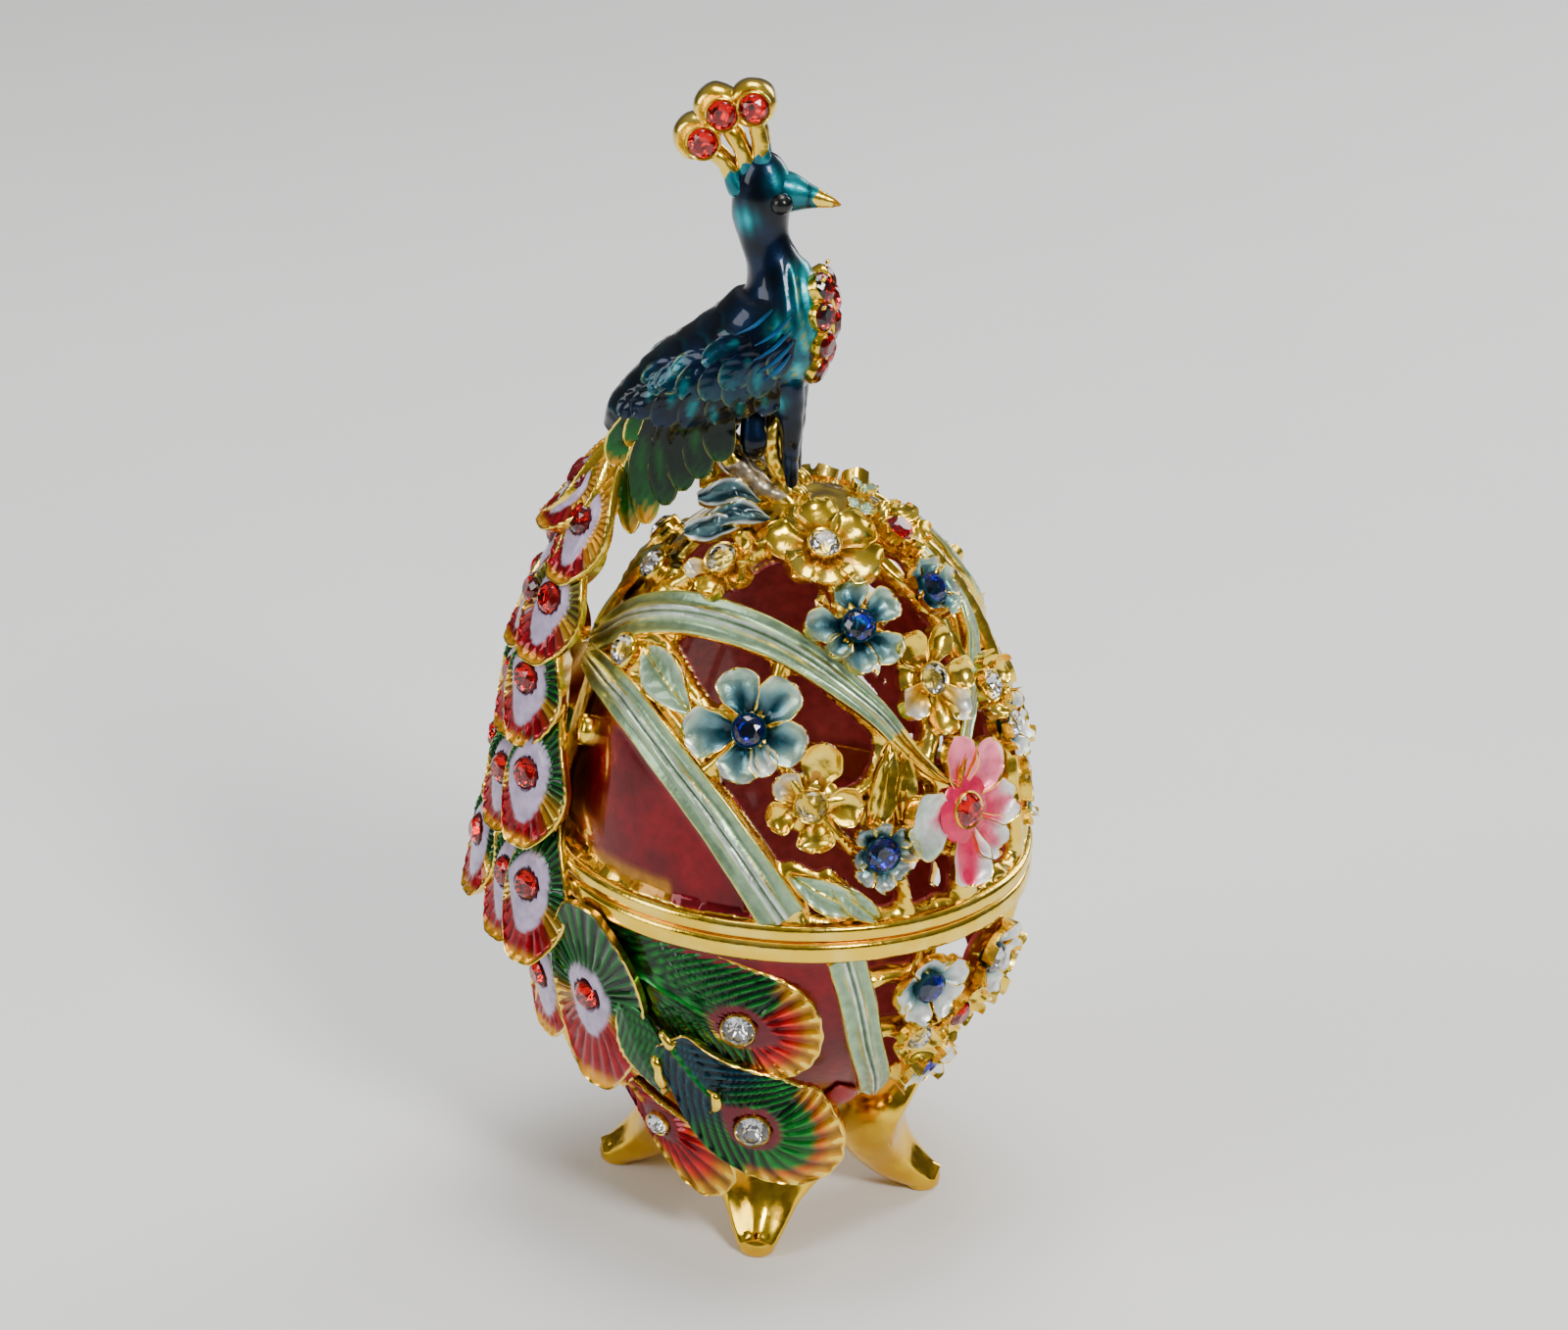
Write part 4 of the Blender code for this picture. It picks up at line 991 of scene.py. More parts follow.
def brilliant():
    """A round stone of radius 1: sixteen-sided girdle, table, and a pointed foiled back."""
    work = bmesh.new()
    rings = [(1.0, 0.0, 16, 0), (0.83, 0.24, 8, 22.5), (0.56, 0.42, 8, 0), (0.5, -0.42, 8, 22.5),
             (0.0, -0.78, 1, 0), (1.0, -0.06, 16, 0)]
    for r, h, count, turn in rings:
        for k in range(count):
            a = math.radians(turn + 360 * k / count)
            work.verts.new((r * math.cos(a), r * math.sin(a), h))
    bmesh.ops.convex_hull(work, input=work.verts)
    bmesh.ops.dissolve_limit(work, angle_limit=0.01, verts=work.verts, edges=work.edges)
    work.verts.index_update()
    points = np.array([v.co for v in work.verts])
    faces = [[v.index for v in f.verts] for f in work.faces]
    backs = [f.calc_center_median().z < -0.03 for f in work.faces]
    work.free()
    return points, faces, backs


BRILLIANT = brilliant()


def stone(name, base, up, colour, radius=STONE_R, turn=0.0):
    """A cut stone whose girdle lies at base. It stands for the part's own stone of that name,
    where there is one."""
    points, faces, backs = BRILLIANT
    up = np.array(up, float)
    across = unit(np.cross(up, [0.12, 0.21, 0.97]))
    over = np.cross(up, across)
    c, s = math.cos(turn), math.sin(turn)
    axes = np.array([across * c + over * s, over * c - across * s, up])
    places = np.asarray(base) + (points * radius) @ axes
    mesh = bpy.data.meshes.new(name)
    mesh.from_pydata((places * MM + np.array(SEAM_CENTRE)).tolist(), [], faces)
    for paint in STONE_PAINTS[colour]:
        mesh.materials.append(paint)
    mesh.polygons.foreach_set("material_index", [int(back) for back in backs])
    plain = name.replace("rhinestone_", "stone_")
    placed_piece(name, mesh, [plain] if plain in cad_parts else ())


# How high a flower's stone sits, and how deep some flowers lie in the shell.
SEAT_LIFT = 1.25
SUNK = {"window_gold": 0.4, "front_low": 0.75, "great_pink": 0.15, "crown_gold": -0.35,
        "crown_gold_left": 0.7}


def flower(name, azimuth, z, radius, petals, turn, style, colour, stone_radius):
    """Petals round a set stone."""
    base = name.replace("_left", "")
    centre = on_egg(azimuth, z)
    up = egg_normal(centre)
    centre = centre - up * SUNK.get(name, SUNK.get(base, 0.0))
    east = unit(np.cross(UP, up))
    north = np.cross(up, east)
    seed = azimuth * 0.7 + z
    cup = (0.14, (1.0, TEAL_DEEP, 0.6)) if style in ("teal", "star", "pearl") else (0.2, BARE)
    parts = [setting(centre, up, stone_radius, SEAT_LIFT, *cup)]
    if base in PETALS:
        given = PETALS[base]
        if base != name:
            given = [(180 - angle, *rest) for angle, *rest in given]
    else:
        width = 1.75 * radius * math.sin(math.pi / petals)
        given = [(turn + 360 * k / petals + 5 * math.sin(seed + 3 * k),
                  radius * (1 + 0.09 * math.sin(seed + 2.3 * k)), width, style)
                 for k in range(petals)]
    for k, (angle, length, width, colours) in enumerate(given):
        a = math.radians(angle)
        out = east * math.cos(a) + north * math.sin(a)
        parts.append(petal(centre, up, out, 0.62 * stone_radius, length, width, colours,
                           seed + 1.3 * k))
    if base == "great_pink":
        heart = [(0.2, 0.1), (2.4, 0.4), (3.5, 0.72), (3.2, 0.98), (1.6, 1.1)]
        parts.append(lathe(heart, centre, up, sides=28, finish=(1.0, HOT_PINK, 0.3)))
    look = (ENAMEL, "gold_plate") if style == "gold" else (PEARLED, "blue_enamel")
    piece("flower_" + name, parts, *look)
    stone("rhinestone_" + name, centre + up * (SEAT_LIFT + 0.12), up, colour, stone_radius, seed)


def shells():
    """The pierced shells, the hoops at the seam, and what lies on the shells."""
    piece("lid_fretwork", [fretwork(True)], ENAMEL, "gold_plate", ["lid"])
    piece("bowl_fretwork", [fretwork(False)], ENAMEL, "gold_plate", ["bowl"])
    piece("lid_band", [band(HALF_GAP, 1.7, 2.0)], POLISHED, "gold_plate")
    piece("bowl_band", [band(-2.15, -HALF_GAP, 9.0)], POLISHED, "gold_plate")
    lip = [(LIP_R, -2.5), (LIP_R, 0.9), (LIP_R - 0.15, 1.0), (LIP_R - 0.65, 1.0),
           (LIP_R - 0.8, 0.9), (LIP_R - 0.8, -2.5)]
    piece("bowl_lip", [lathe(lip, sides=120, closed=True)], POLISHED, "gold_plate")
    aged = [(0, OLIVE), (0.12, OLIVE), (0.3, LEAF_TEAL), (1, LEAF_TEAL)]
    plain = [(0, LEAF_TEAL), (1, LEAF_TEAL)]
    disc = [(1.6, -0.6), (1.6, 0.6), (1.55, 1.1), (1.2, 1.45), (0.1, 1.5)]
    for word, side, turned in (("right", -1, list), ("left", 1, mirrored)):
        ribbon("ribbon_high_" + word, turned(RIBBON_HIGH),
               [4.0, 4.6, 4.5, 4.0, 3.4, 2.6, 1.7, 1.2], aged, 0.78)
        ribbon("ribbon_low_" + word, turned(RIBBON_LOW), [3.0, 4.3, 4.4, 4.5, 5.0], aged, point=0)
        ribbon("ribbon_front_" + word, turned(RIBBON_FRONT), [1.6, 2.3, 2.2, 1.6], plain, 0.9)
        ribbon("ribbon_bowl_" + word, turned(RIBBON_BOWL), [3.9, 3.8, 3.6, 3.3], plain)
        for name, stalk, tip, width, painted in LEAVES:
            shell_leaf(f"{name}_{word}", turned([stalk, tip]), width, painted)
        for k, place in enumerate(turned(PLAIN_STONES)):
            centre = on_egg(*place)
            up = egg_normal(centre)
            piece(f"setting_{word}_{k}", [setting(centre, up, STONE_R, SEAT_LIFT, 0.28)],
                  POLISHED, "gold_plate")
            stone(f"shell_stone_{word}_{k}", centre + up * 1.4, up, "clear")
        piece("plant_" + word, plant(side), PEARLED, "blue_enamel")
        centre = on_egg(*turned([GOLD_DISC])[0])
        piece("gold_disc_" + word, [lathe(disc, centre, egg_normal(centre), sides=28)], POLISHED,
              "gold_plate")
    for name, given in flowers().items():
        flower(name, *given)


# Train feathers: name, stone (x, y, z), length, width, the azimuth that the face looks to, how
# far the tip leans out from the egg in degrees, how amber it is, and how deep its root sinks.
HANGING = [
    ("right_top", (-22.2, -5.2, 34.6), 13.6, 8.0, -142, 20, 0.9, 2.0),
    ("right_high", (-24.8, -7.0, 26.7), 13.5, 8.8, -136, 17, 0.2, 2.6),
    ("right_waist", (-26.7, -8.4, 18.5), 14.0, 9.2, -132, 5, 0.0, 3.2),
    ("right_low", (-26.0, -11.5, 9.6), 15.0, 10.4, -130, 7, 0.0, 3.2),
    ("right_seam", (-25.4, -13.2, -1.8), 16.4, 10.4, -128, 5, 0.0, 3.2),
    ("mid_top", (-23.0, -1.4, 37.6), 12.4, 8.4, -162, 33, 0.9, 0.6),
    ("mid_high", (-27.0, -3.2, 26.2), 12.5, 8.2, -158, 18, 0.2, 2.6),
    ("mid_waist", (-28.7, -4.0, 17.2), 13.0, 8.8, -150, 5, 0.0, 3.2),
    ("mid_low", (-29.2, -6.3, 7.6), 13.0, 8.8, -144, 4, 0.0, 3.2),
    ("mid_seam", (-28.4, -8.0, -3.1), 14.4, 9.0, -142, 5, 0.0, 3.2),
    ("great_eye", (-18.6, -16.6, -11.9), 21.8, 14.8, -130, -12, 0.0, 0.2),
    ("lower_mid", (-24.6, -7.4, -14.6), 14.0, 10.6, -148, -13, 0.0, 2.2),
    ("lower_tuck", (-16.6, -11.2, -21.2), 12.0, 9.0, -136, -34, 0.6, 1.0),
]
HANGING_MIDDLE = [
    ("middle_high", (-25.2, 0.0, 31.5), 13.0, 8.0, 180, 20, 0.6, 2.6),
    ("middle_waist", (-28.4, 0.0, 20.0), 13.0, 8.6, 180, 6, 0.0, 3.2),
    ("middle_low", (-30.7, -0.5, 8.8), 13.5, 8.8, -170, 5, 0.0, 3.2),
    ("middle_seam", (-32.2, -1.2, -1.8), 14.0, 9.4, -158, 5, 0.0, 3.2),
    ("lower_middle", (-26.4, 0.0, -14.6), 15.0, 10.0, 180, -10, 0.0, 2.4),
    ("lower_tip", (-23.4, 0.0, -22.6), 12.0, 9.0, 180, -30, 0.6, 1.4),
]

# Feathers without a stone: their eye is a small plain tear.
BLANK_FEATHERS = ("lower_tuck", "lower_middle", "lower_tip")

# How high the eye's stone stands, how deep its seat is below, how far the tip curls up, the
# spokes of the two kinds of feather mesh, and the ribs round a fan.
EYE_H = 1.35
SEAT_DEPTH = 0.9
TIP_LIFT = 0.8
HANGING_SPOKES = 120
FAN_SPOKES = 156
FAN_RIBS = 26

# How much of its half width a feather keeps on its outer side.
SLIM = {"right_waist": 0.74, "right_low": 0.66, "right_seam": 0.66, "great_eye": 0.76}

# Feathers fanned sideways round the bowl: name, root and tip as (azimuth, radius, height), how
# far the middle line sags, width, where along it the stone is, how far the face looks down, how
# blue the root is, how red its barbs are, and the stone's radius.
FANNED = [
    ("fan_high", (-150, 22.7, -4.4), (-76.5, 23.0, -12.6), 0.0, 12.6, 0.73, 8, 0.0, 0.0, 1.7),
    ("fan_low", (-114, 23.4, -13.2), (-67, 21.0, -23.6), 3.7, 12.4, 0.56, 6, 1.0, 0.0, 1.7),
    ("fan_red", (-134, 19.6, -22.0), (-101, 17.4, -32.4), 0.0, 7.0, 0.34, 14, 0.0, 1.0, 1.25),
]

# Gold curls and one small leaf between the fanned feathers, as (azimuth, radius, height).
CURLS = [[(-116.2, 23.2, -12.6), (-114.6, 24.1, -12.7), (-112.8, 24.0, -13.5),
          (-111.2, 23.4, -13.2)],
         [(-118.6, 23.2, -14.8), (-116.6, 23.7, -16.4), (-115.6, 23.2, -18.4),
          (-116.6, 22.2, -20.2)],
         [(-102.6, 23.8, -17.6), (-101.0, 24.1, -17.8), (-100.2, 24.0, -19.0),
          (-101.8, 23.6, -20.0)]]
SMALL_LEAF = [(-128, 23.6, -11.0), (-121, 23.6, -15.6), (-116.4, 22.0, -20.4)]

# The cores that the feathers grow from: (height, outer radius, half width).
UPPER_CORE = [(39, 21.6, 2.8), (34, 23.0, 4.2), (26, 25.4, 6.4), (16, 27.0, 9.0), (6, 28.4, 11.0),
              (-2, 28.6, 10.6)]
LOWER_CORE = [(-4.4, 25.8, 12.0), (-9, 25.4, 12.0), (-14, 24.4, 11.0), (-19, 22.4, 9.0)]


def plate(place, outline, relief, finish, rings=22, thick=0.8):
    """A closed plate in polar rings round its eye. outline is its reach in each direction,
    and place puts (x, y, lift) in space, where y runs to the tip."""
    spokes = len(outline)
    angles = spokes_of(spokes)
    share = 1 - (1 - np.linspace(0, 1, rings)) ** 1.4
    r = share[:, None] * outline
    a = np.broadcast_to(angles, r.shape)
    x, y = r * np.sin(a), r * np.cos(a)
    edge = outline - r
    top = place(x, y, relief(x, y, a, edge))
    low = np.linspace(0.97, 0, 3)[:, None] * outline
    bulge = np.linspace(0, SEAT_DEPTH, len(low))[:, None]
    under = place(low * np.sin(angles), low * np.cos(angles), -thick - bulge + 0 * low)
    points = np.concatenate([top, under]).reshape(-1, 3)
    faces = grid_faces(rings + len(low), spokes, closed=True)
    return backed_part(points, faces, finish(x, y, a, edge), x.shape, low.size)


def reach(half_width, start, end, spokes):
    """How far an outline lies from the eye in each direction."""
    angles = spokes_of(spokes)[:, None]
    far = np.linspace(0, max(-start, end) * 1.02, 400)
    x, y = np.abs(np.sin(angles) * far), np.cos(angles) * far
    outside = (x > half_width(y, angles > 0)) | (y < start) | (y > end)
    outside[:, 0], outside[:, -1] = False, True
    found = far[np.argmax(outside, axis=1) - 1]
    for _ in range(2):
        found = (np.roll(found, 1) + 2 * found + np.roll(found, -1)) / 4
    return found


def drop(x, y, wide, above, below, point=0.0):
    """How far inside a tear-shaped eye each point lies, with its round end above."""
    down = np.clip(y / below, 0, 1)
    squeezed = wide * (1 - point * down**1.5)
    q = np.sqrt((x / squeezed) ** 2 + np.where(y > 0, y / below, y / above) ** 2)
    return (1 - q) * wide


def leaf_half(width, t, droop=1.35):
    t = np.clip(t, 0, 1)
    return np.maximum(0.35, width / 2 * np.sin(math.pi * (0.06 + 0.88 * t) ** droop) ** 0.75)


def hang(facing, lean):
    """The way down a hanging feather, and the way its face looks."""
    a, tilt = math.radians(facing), math.radians(lean)
    out = np.array([math.cos(a), math.sin(a), 0.0])
    down = out * math.sin(tilt) - UP * math.cos(tilt)
    return down, out * math.cos(tilt) + UP * math.sin(tilt)


def rope(angles):
    """Uneven grains along a gold rim."""
    return 1 + 0.1 * np.sin(46 * angles) + 0.12 * np.sin(31 * angles + 1)


def within(inside):
    """1 inside a tear-shaped eye and 0 outside it."""
    return smooth(inside / 0.14 + 0.5)


def striped(x, v, length, spread, density):
    """Slanting barbs from the shaft of a feather or leaf, between -1 and 1."""
    return np.sin((np.abs(x) * spread - v * length) * density)


def hole(x, y, radius):
    """1 under a set stone, 0 beside it."""
    return smooth((radius + 0.1 - np.hypot(x, y)) / 0.25)


def hanging(name, eye, length, width, facing, lean, amber, sink):
    """A feather that hangs tip down: gold rim, green barbs, pale eye and crimson fan."""
    along, up = hang(facing, lean)
    side = np.cross(along, up)
    middle = np.array(eye) - up * EYE_H
    base = name.replace("_left", "")
    blank, slim = base in BLANK_FEATHERS, SLIM.get(base, 1.0)

    def half(y, over):
        droop = 0.98 if base == "great_eye" else 1.35
        wing = leaf_half(width, y / length + 0.5, droop)
        return wing * np.where(over == (facing < 0), slim, 1.0)

    outline = reach(half, -length / 2, length / 2, HANGING_SPOKES)
    ribs = 30 if width < 9.5 else 36
    seed = eye[2]
    wide, above, below = min(0.27 * width, 2.8), min(0.23 * length, 3.3), min(0.36 * length, 5.1)

    def place(x, y, lift):
        far = 2 * y / length
        bend = np.where(far < 0, -sink, TIP_LIFT) * far**2
        rise = 0.8 * (1 - (2 * x / width) ** 2) + bend + lift
        return middle + side * x[..., None] + along * y[..., None] + up * rise[..., None]

    def eye_depth(x, y):
        if blank:
            return drop(x, y, 0.2 * width, 0.16 * length, 0.2 * length, 0.5)
        return drop(x + 0.15 * np.sin(y + seed), y, wide, above, below, 0.2)

    def relief(x, y, a, edge):
        inside = eye_depth(x, y)
        barbs = np.cos(ribs * a) * smooth(-inside / 0.5) * smooth(edge / 0.6)
        seat = 0.0 if blank else 1.25 * hole(x, y, STONE_R)
        return (0.15 * barbs + 0.28 * bump(edge - 0.16, 0.2) * rope(a)
                + 0.3 * smooth((inside + 0.1) / 0.6) - 0.1 - seat)

    def finish(x, y, a, edge):
        inside = eye_depth(x, y)
        near = np.maximum(np.sign(facing) * np.sin(a), 0)
        turn = np.degrees(np.abs(a)) + 5 * np.sin(seed + 3 * a) + 18 * near
        # Colours that follow ridge below are lighter on the raised barbs and darker between them:
        # painted highlight and painted shade.
        ridge = 0.5 + 0.5 * np.cos(ribs * a)
        green = mixed(ridge**3, DARK_GREEN * 0.8, BRIGHT_GREEN)
        barb = mixed(amber * (0.4 + 0.6 * ridge), green, AMBER)
        red = mixed(ridge, CRIMSON * 0.6, CRIMSON * 1.5)
        paint = mixed(1 - smooth((turn - 50) / 9), barb, red)
        golden = bump(turn - 66, 13) * (0.3 + 0.7 * ridge)
        paint = mixed(golden, paint, AMBER)
        paint = mixed(smooth((y - 0.4 * length) / (0.07 * length)), paint, AMBER)
        spot = within(inside)
        paint = mixed(spot, paint, TEAR_MAROON if blank else LAVENDER)
        rim = 0.25 - 0.1 * np.sin(a) + 0.05 * np.sin(23 * a + seed)
        bare = bump(turn - 64, 11) * smooth((ridge - 0.72) / 0.2) * (1 - spot)
        return edge - rim - 3 * bare * (edge < 2.2), paint, FOILED * (1 - spot)

    parts = [plate(place, outline, relief, finish)]
    if not blank:
        parts.append(setting(middle, up, STONE_R, EYE_H - 0.42, 0.08, (1.0, CRIMSON * 0.4, 0.5)))
        stone("rhinestone_" + name, middle + up * (EYE_H - 0.28), up, "red", turn=seed)
    piece("feather_" + name, parts, ENAMEL, "green_enamel")


def fanned(name, root, tip, sag, width, share, tilt, blue, crimson, radius):
    """A feather laid sideways round the bowl: midrib, barbs, dark tear and ribbed fan."""
    t = np.linspace(0, 1, 60)
    stops = np.array(root, float) + (np.array(tip, float) - np.array(root, float)) * t[:, None]
    stops[:, 2] -= 4 * sag * t * (1 - t)
    turn = np.radians(stops[:, 0])
    line = np.stack([stops[:, 1] * np.cos(turn), stops[:, 1] * np.sin(turn), stops[:, 2]], -1)
    run = np.concatenate([[0], np.cumsum(np.linalg.norm(np.diff(line, axis=0), axis=1))])
    aims = unit(np.gradient(line, axis=0))
    length = run[-1]
    down = math.radians(tilt)
    hand = -np.sign(root[0])
    start, end = -share * length, (1 - share) * length
    small = radius / 1.7
    above, below, wide = 3.2 * small, 3.9 * small, 2.5 * small
    flip = -1 if blue else 1
    rib_end = -below if blue else -above

    def half(y, under):
        t = (y - start) / length
        body = 0.42 + 0.58 * smooth(t / 0.55)
        blunt = np.sqrt(np.clip(1 - np.clip((t - 0.72) / 0.28, 0, 1) ** 2.8, 0, 1))
        return width / 2 * body * blunt * np.where(under == (hand > 0), 0.9, 1.04)

    angles = spokes_of(FAN_SPOKES)
    fanlike = smooth((1.5 - np.abs(angles)) / 0.3)
    scallops = 1 + 0.009 * np.cos(FAN_RIBS * angles) * fanlike
    outline = reach(half, start, end, FAN_SPOKES) * scallops

    def place(x, y, lift):
        here = y + share * length
        azimuth, r, z = (np.interp(here, run, stops[:, k]) for k in range(3))
        ahead = np.stack([np.interp(here, run, aims[:, k]) for k in range(3)], -1)
        a = np.radians(azimuth)
        out = np.stack([np.cos(a), np.sin(a), 0 * a], -1)
        up = out * math.cos(down) - UP * math.sin(down)
        side = unit(np.cross(ahead, up)) * hand
        rise = 0.55 - 0.03 * x**2 + lift
        return (out * r[..., None] + UP * z[..., None] + side * x[..., None]
                + up * rise[..., None])

    def zones(x, y, a):
        inside = drop(x, flip * y - 0.2, wide, above, below, 0.7)
        rays = smooth((1.3 - np.abs(a)) / 0.25)
        sweep = y - 0.95 * np.abs(x) - 0.03 * x**2
        barbs = np.cos(2 * math.pi * sweep / 1.25 + 0.5 * np.sin(1.3 * x))
        ridge = 0.5 + 0.5 * (rays * np.cos(FAN_RIBS * a) + (1 - rays) * barbs)
        rib = bump(x, 0.22) * smooth((rib_end - y) / 0.5)
        return inside, rays, ridge, rib

    def relief(x, y, a, edge):
        inside, _, ridge, rib = zones(x, y, a)
        pattern = (ridge - 0.5) * smooth(-inside / 0.5) * smooth(edge / 0.6)
        return (0.3 * pattern * (1 - rib) + 0.3 * rib + 0.26 * bump(edge - 0.16, 0.2) * rope(a)
                + 0.12 * smooth(inside / 0.5) - 0.1 - 1.15 * hole(x, y, radius))

    def finish(x, y, a, edge):
        inside, rays, ridge, rib = zones(x, y, a)
        # Colours that follow ridge below, the barbs, the dark root and the flame, are lighter on
        # the raised ridges and darker between them: painted highlight and painted shade.
        barb = mixed(ridge**3, DARK_GREEN * 0.8, BRIGHT_GREEN)
        barb = mixed(crimson, barb, mixed(ridge, TEAR_MAROON, CRIMSON))
        cold = mixed(ridge**2, INK, TEAL_DEEP)
        shade = smooth((rib_end + 1.4 - y) / 3 + 0.2 * np.sin(x)) * blue
        low = smooth((x - 2.9) / 1.4) * smooth((y + 6) / 4) * (1 - blue)
        barb = mixed(np.maximum(shade, low * (1 - crimson)), barb, cold)
        out = 1 - edge / np.maximum(edge + 0.01 + np.hypot(x, y), 1)
        far = np.clip((out - 0.5) / 0.5, 0, 1) + 0.12 * (ridge - 0.5)
        inner = mixed(blue, CRIMSON, BRIGHT_GREEN * 0.8)
        flame = ramp(far, (0, inner), (0.3, mixed(blue, SCARLET, BRIGHT_GREEN)),
                     (0.5, ORANGE * 0.8), (0.7, AMBER * 0.8), (1, AMBER * 0.9))
        flame = flame * (0.34 + 0.78 * ridge)[..., None]
        heart = smooth((1.0 - np.abs(a)) / 0.3)
        flame = mixed((1 - heart) * smooth((0.75 - far) / 0.4), flame, barb)
        paint = mixed(rays, barb, flame)
        paint = mixed(rib, paint, mixed(crimson, BRIGHT_GREEN * 1.3, AMBER))
        spot = within(inside)
        paint = mixed(spot, paint, TEAR_MAROON)
        cell = edge - 0.24 - 0.06 * np.sin(19 * a) + 0.2 * (1 - rays) * smooth(x)
        lines = 0.24 - bump(ridge - 1, 0.14) * rays * smooth((far - 0.72) / 0.15)
        return np.minimum(cell, lines), paint, FOILED * (1 - 0.7 * spot)

    zero = np.zeros((1, 1))
    seat = place(zero, zero, zero)[0, 0]
    up = unit(place(zero, zero, zero + 1)[0, 0] - seat)
    made = plate(place, outline, relief, finish, rings=32, thick=1.0)
    piece("feather_" + name, [made, setting(seat, up, radius, 0.26, 0.12)], ENAMEL,
          "green_enamel")
    stone("rhinestone_" + name, seat + up * 0.4, up, "clear", radius, 0.4)


def ring_path(side, places):
    """Points given as (azimuth, radius, height), mirrored where side is -1."""
    turns = [math.radians(side * azimuth) for azimuth, _, _ in places]
    return [np.array([r * math.cos(a), r * math.sin(a), z])
            for a, (_, r, z) in zip(turns, places)]


def small_leaf(side):
    """A striped green leaf with one gold edge, between the great eye and the fans, its stripes
    painted lighter on the raised ribs as a highlight.
    """
    path = spline(ring_path(side, SMALL_LEAF), 26)
    ups = unit(path * [1, 1, 0])
    v = np.linspace(0, 1, 26)

    def relief(u, v, x, w):
        return 0.3 * (1 - u**2) + 0.1 * striped(x, v, 11, 1, 5.5) + 0.16 * bump(u, 0.12)

    def finish(u, v, x, w):
        # The stripes are lighter on the raised ribs and darker between them: painted highlight and
        # painted shade.
        stripe_highlight = 0.5 + 0.5 * striped(x, v, 11, 1, 5.5)
        return 0.86 - side * u, mixed(stripe_highlight**2, DARK_GREEN, BRIGHT_GREEN), FOILED

    half = leaf_shape(1 - v) * 2.8
    return blade(path, ups, half, relief, finish, across=17, thick=0.8)


def curls(side):
    return [tube(ring_path(side, curl), [0.2, 0.42, 0.5, 0.2], 28, 12, bumps=0.22)
            for curl in CURLS]


def core(name, rows, node):
    """The ribbed core behind the hanging feathers, bent round the egg's axis."""
    count = 90
    z, outer, half = (spline(column, count) for column in zip(*rows))
    path = np.stack([-outer + 0.3, 0 * z, z], -1)
    ups = np.tile([-1.0, 0, 0], (count, 1))

    def sweep(x, v):
        return np.cos((np.abs(x) * 0.9 + v * 0.6 * len(v)) * 2.2)

    def relief(u, v, x, w):
        return -x**2 / (2 * outer[:, None]) + 0.16 * sweep(x, v) * (1 - u**6)

    def finish(u, v, x, w):
        # The green is lighter on the raised sweeps and darker between them: painted highlight and
        # painted shade.
        green = mixed(0.5 + 0.5 * sweep(x, v), DARK_GREEN, GREEN)
        return (1 - np.abs(u)) * w - 0.3, green, FOILED

    made = blade(path, ups, half, relief, finish, across=41, thick=1.6)
    piece(name, [made], ENAMEL, "green_enamel", [node])


def train():
    core("upper_train_core", UPPER_CORE, "upper_train")
    core("lower_train_core", LOWER_CORE, "lower_train")
    for name, (x, y, z), length, width, facing, *rest in HANGING:
        hanging(name, (x, y, z), length, width, facing, *rest)
        hanging(name + "_left", (x, -y, z), length, width, -facing, *rest)
    for given in HANGING_MIDDLE:
        hanging(*given)
    for name, root, tip, *rest in FANNED:
        fanned(name, root, tip, *rest)
        fanned(name + "_left", (-root[0], *root[1:]), (-tip[0], *tip[1:]), *rest)
    for side, word in ((1, "right"), (-1, "left")):
        piece("train_leaf_" + word, [small_leaf(side)], ENAMEL, "green_enamel")
        piece("train_curls_" + word, curls(side), POLISHED, "gold_plate")


# The bird: centre (x, z), half depth in the side view, half width, and axis direction.
BIRD_RINGS = [
    ((-19.3, 42.3), 1.4, 2.0, (0.6, 0.8)),
    ((-17.5, 43.6), 3.1, 3.6, (0.66, 0.75)),
    ((-13.3, 46.5), 4.8, 5.0, (0.78, 0.62)),
    ((-9.4, 49.0), 5.5, 5.6, (0.82, 0.57)),
    ((-5.6, 51.7), 5.9, 5.6, (0.70, 0.71)),
    ((-3.7, 55.4), 5.1, 4.7, (0.40, 0.92)),
    ((-3.5, 58.0), 3.9, 3.6, (-0.1, 1.0)),
    ((-4.6, 60.4), 2.7, 2.6, (-0.35, 0.94)),
    ((-5.5, 62.6), 2.4, 2.2, (-0.3, 0.95)),
    ((-6.1, 65.2), 2.8, 2.5, (-0.1, 1.0)),
    ((-5.9, 67.6), 2.9, 2.5, (0.0, 1.0)),
    ((-6.4, 69.9), 2.2, 1.8, (-0.3, 0.95)),
    ((-6.8, 71.3), 0.9, 0.8, (-0.3, 0.95)),
]

# The beak's sections: (x, z), half height and half width. Then the crest's lobes as (x, z) with
# their stones, the roots of its shafts, and a lobe's radius and half thickness.
BEAK = [((-5.4, 67.5), 2.45, 2.1), ((-3.8, 67.45), 2.1, 1.7), ((-2.8, 67.35), 1.8, 1.4),
        ((-1.4, 67.15), 1.22, 0.95), ((0.0, 66.9), 0.74, 0.57), ((0.9, 66.72), 0.46, 0.38),
        ((1.35, 66.6), 0.22, 0.2)]
CREST = [((-7.4, 75.95), (-7.1, 75.8)), ((-10.7, 75.3), (-10.1, 74.95)),
         ((-12.5, 72.4), (-11.8, 72.1))]
CREST_ROOTS = [(-6.1, 71.2), (-7.3, 70.2), (-8.3, 68.8)]
CREST_R = 2.35
CREST_T = 1.6

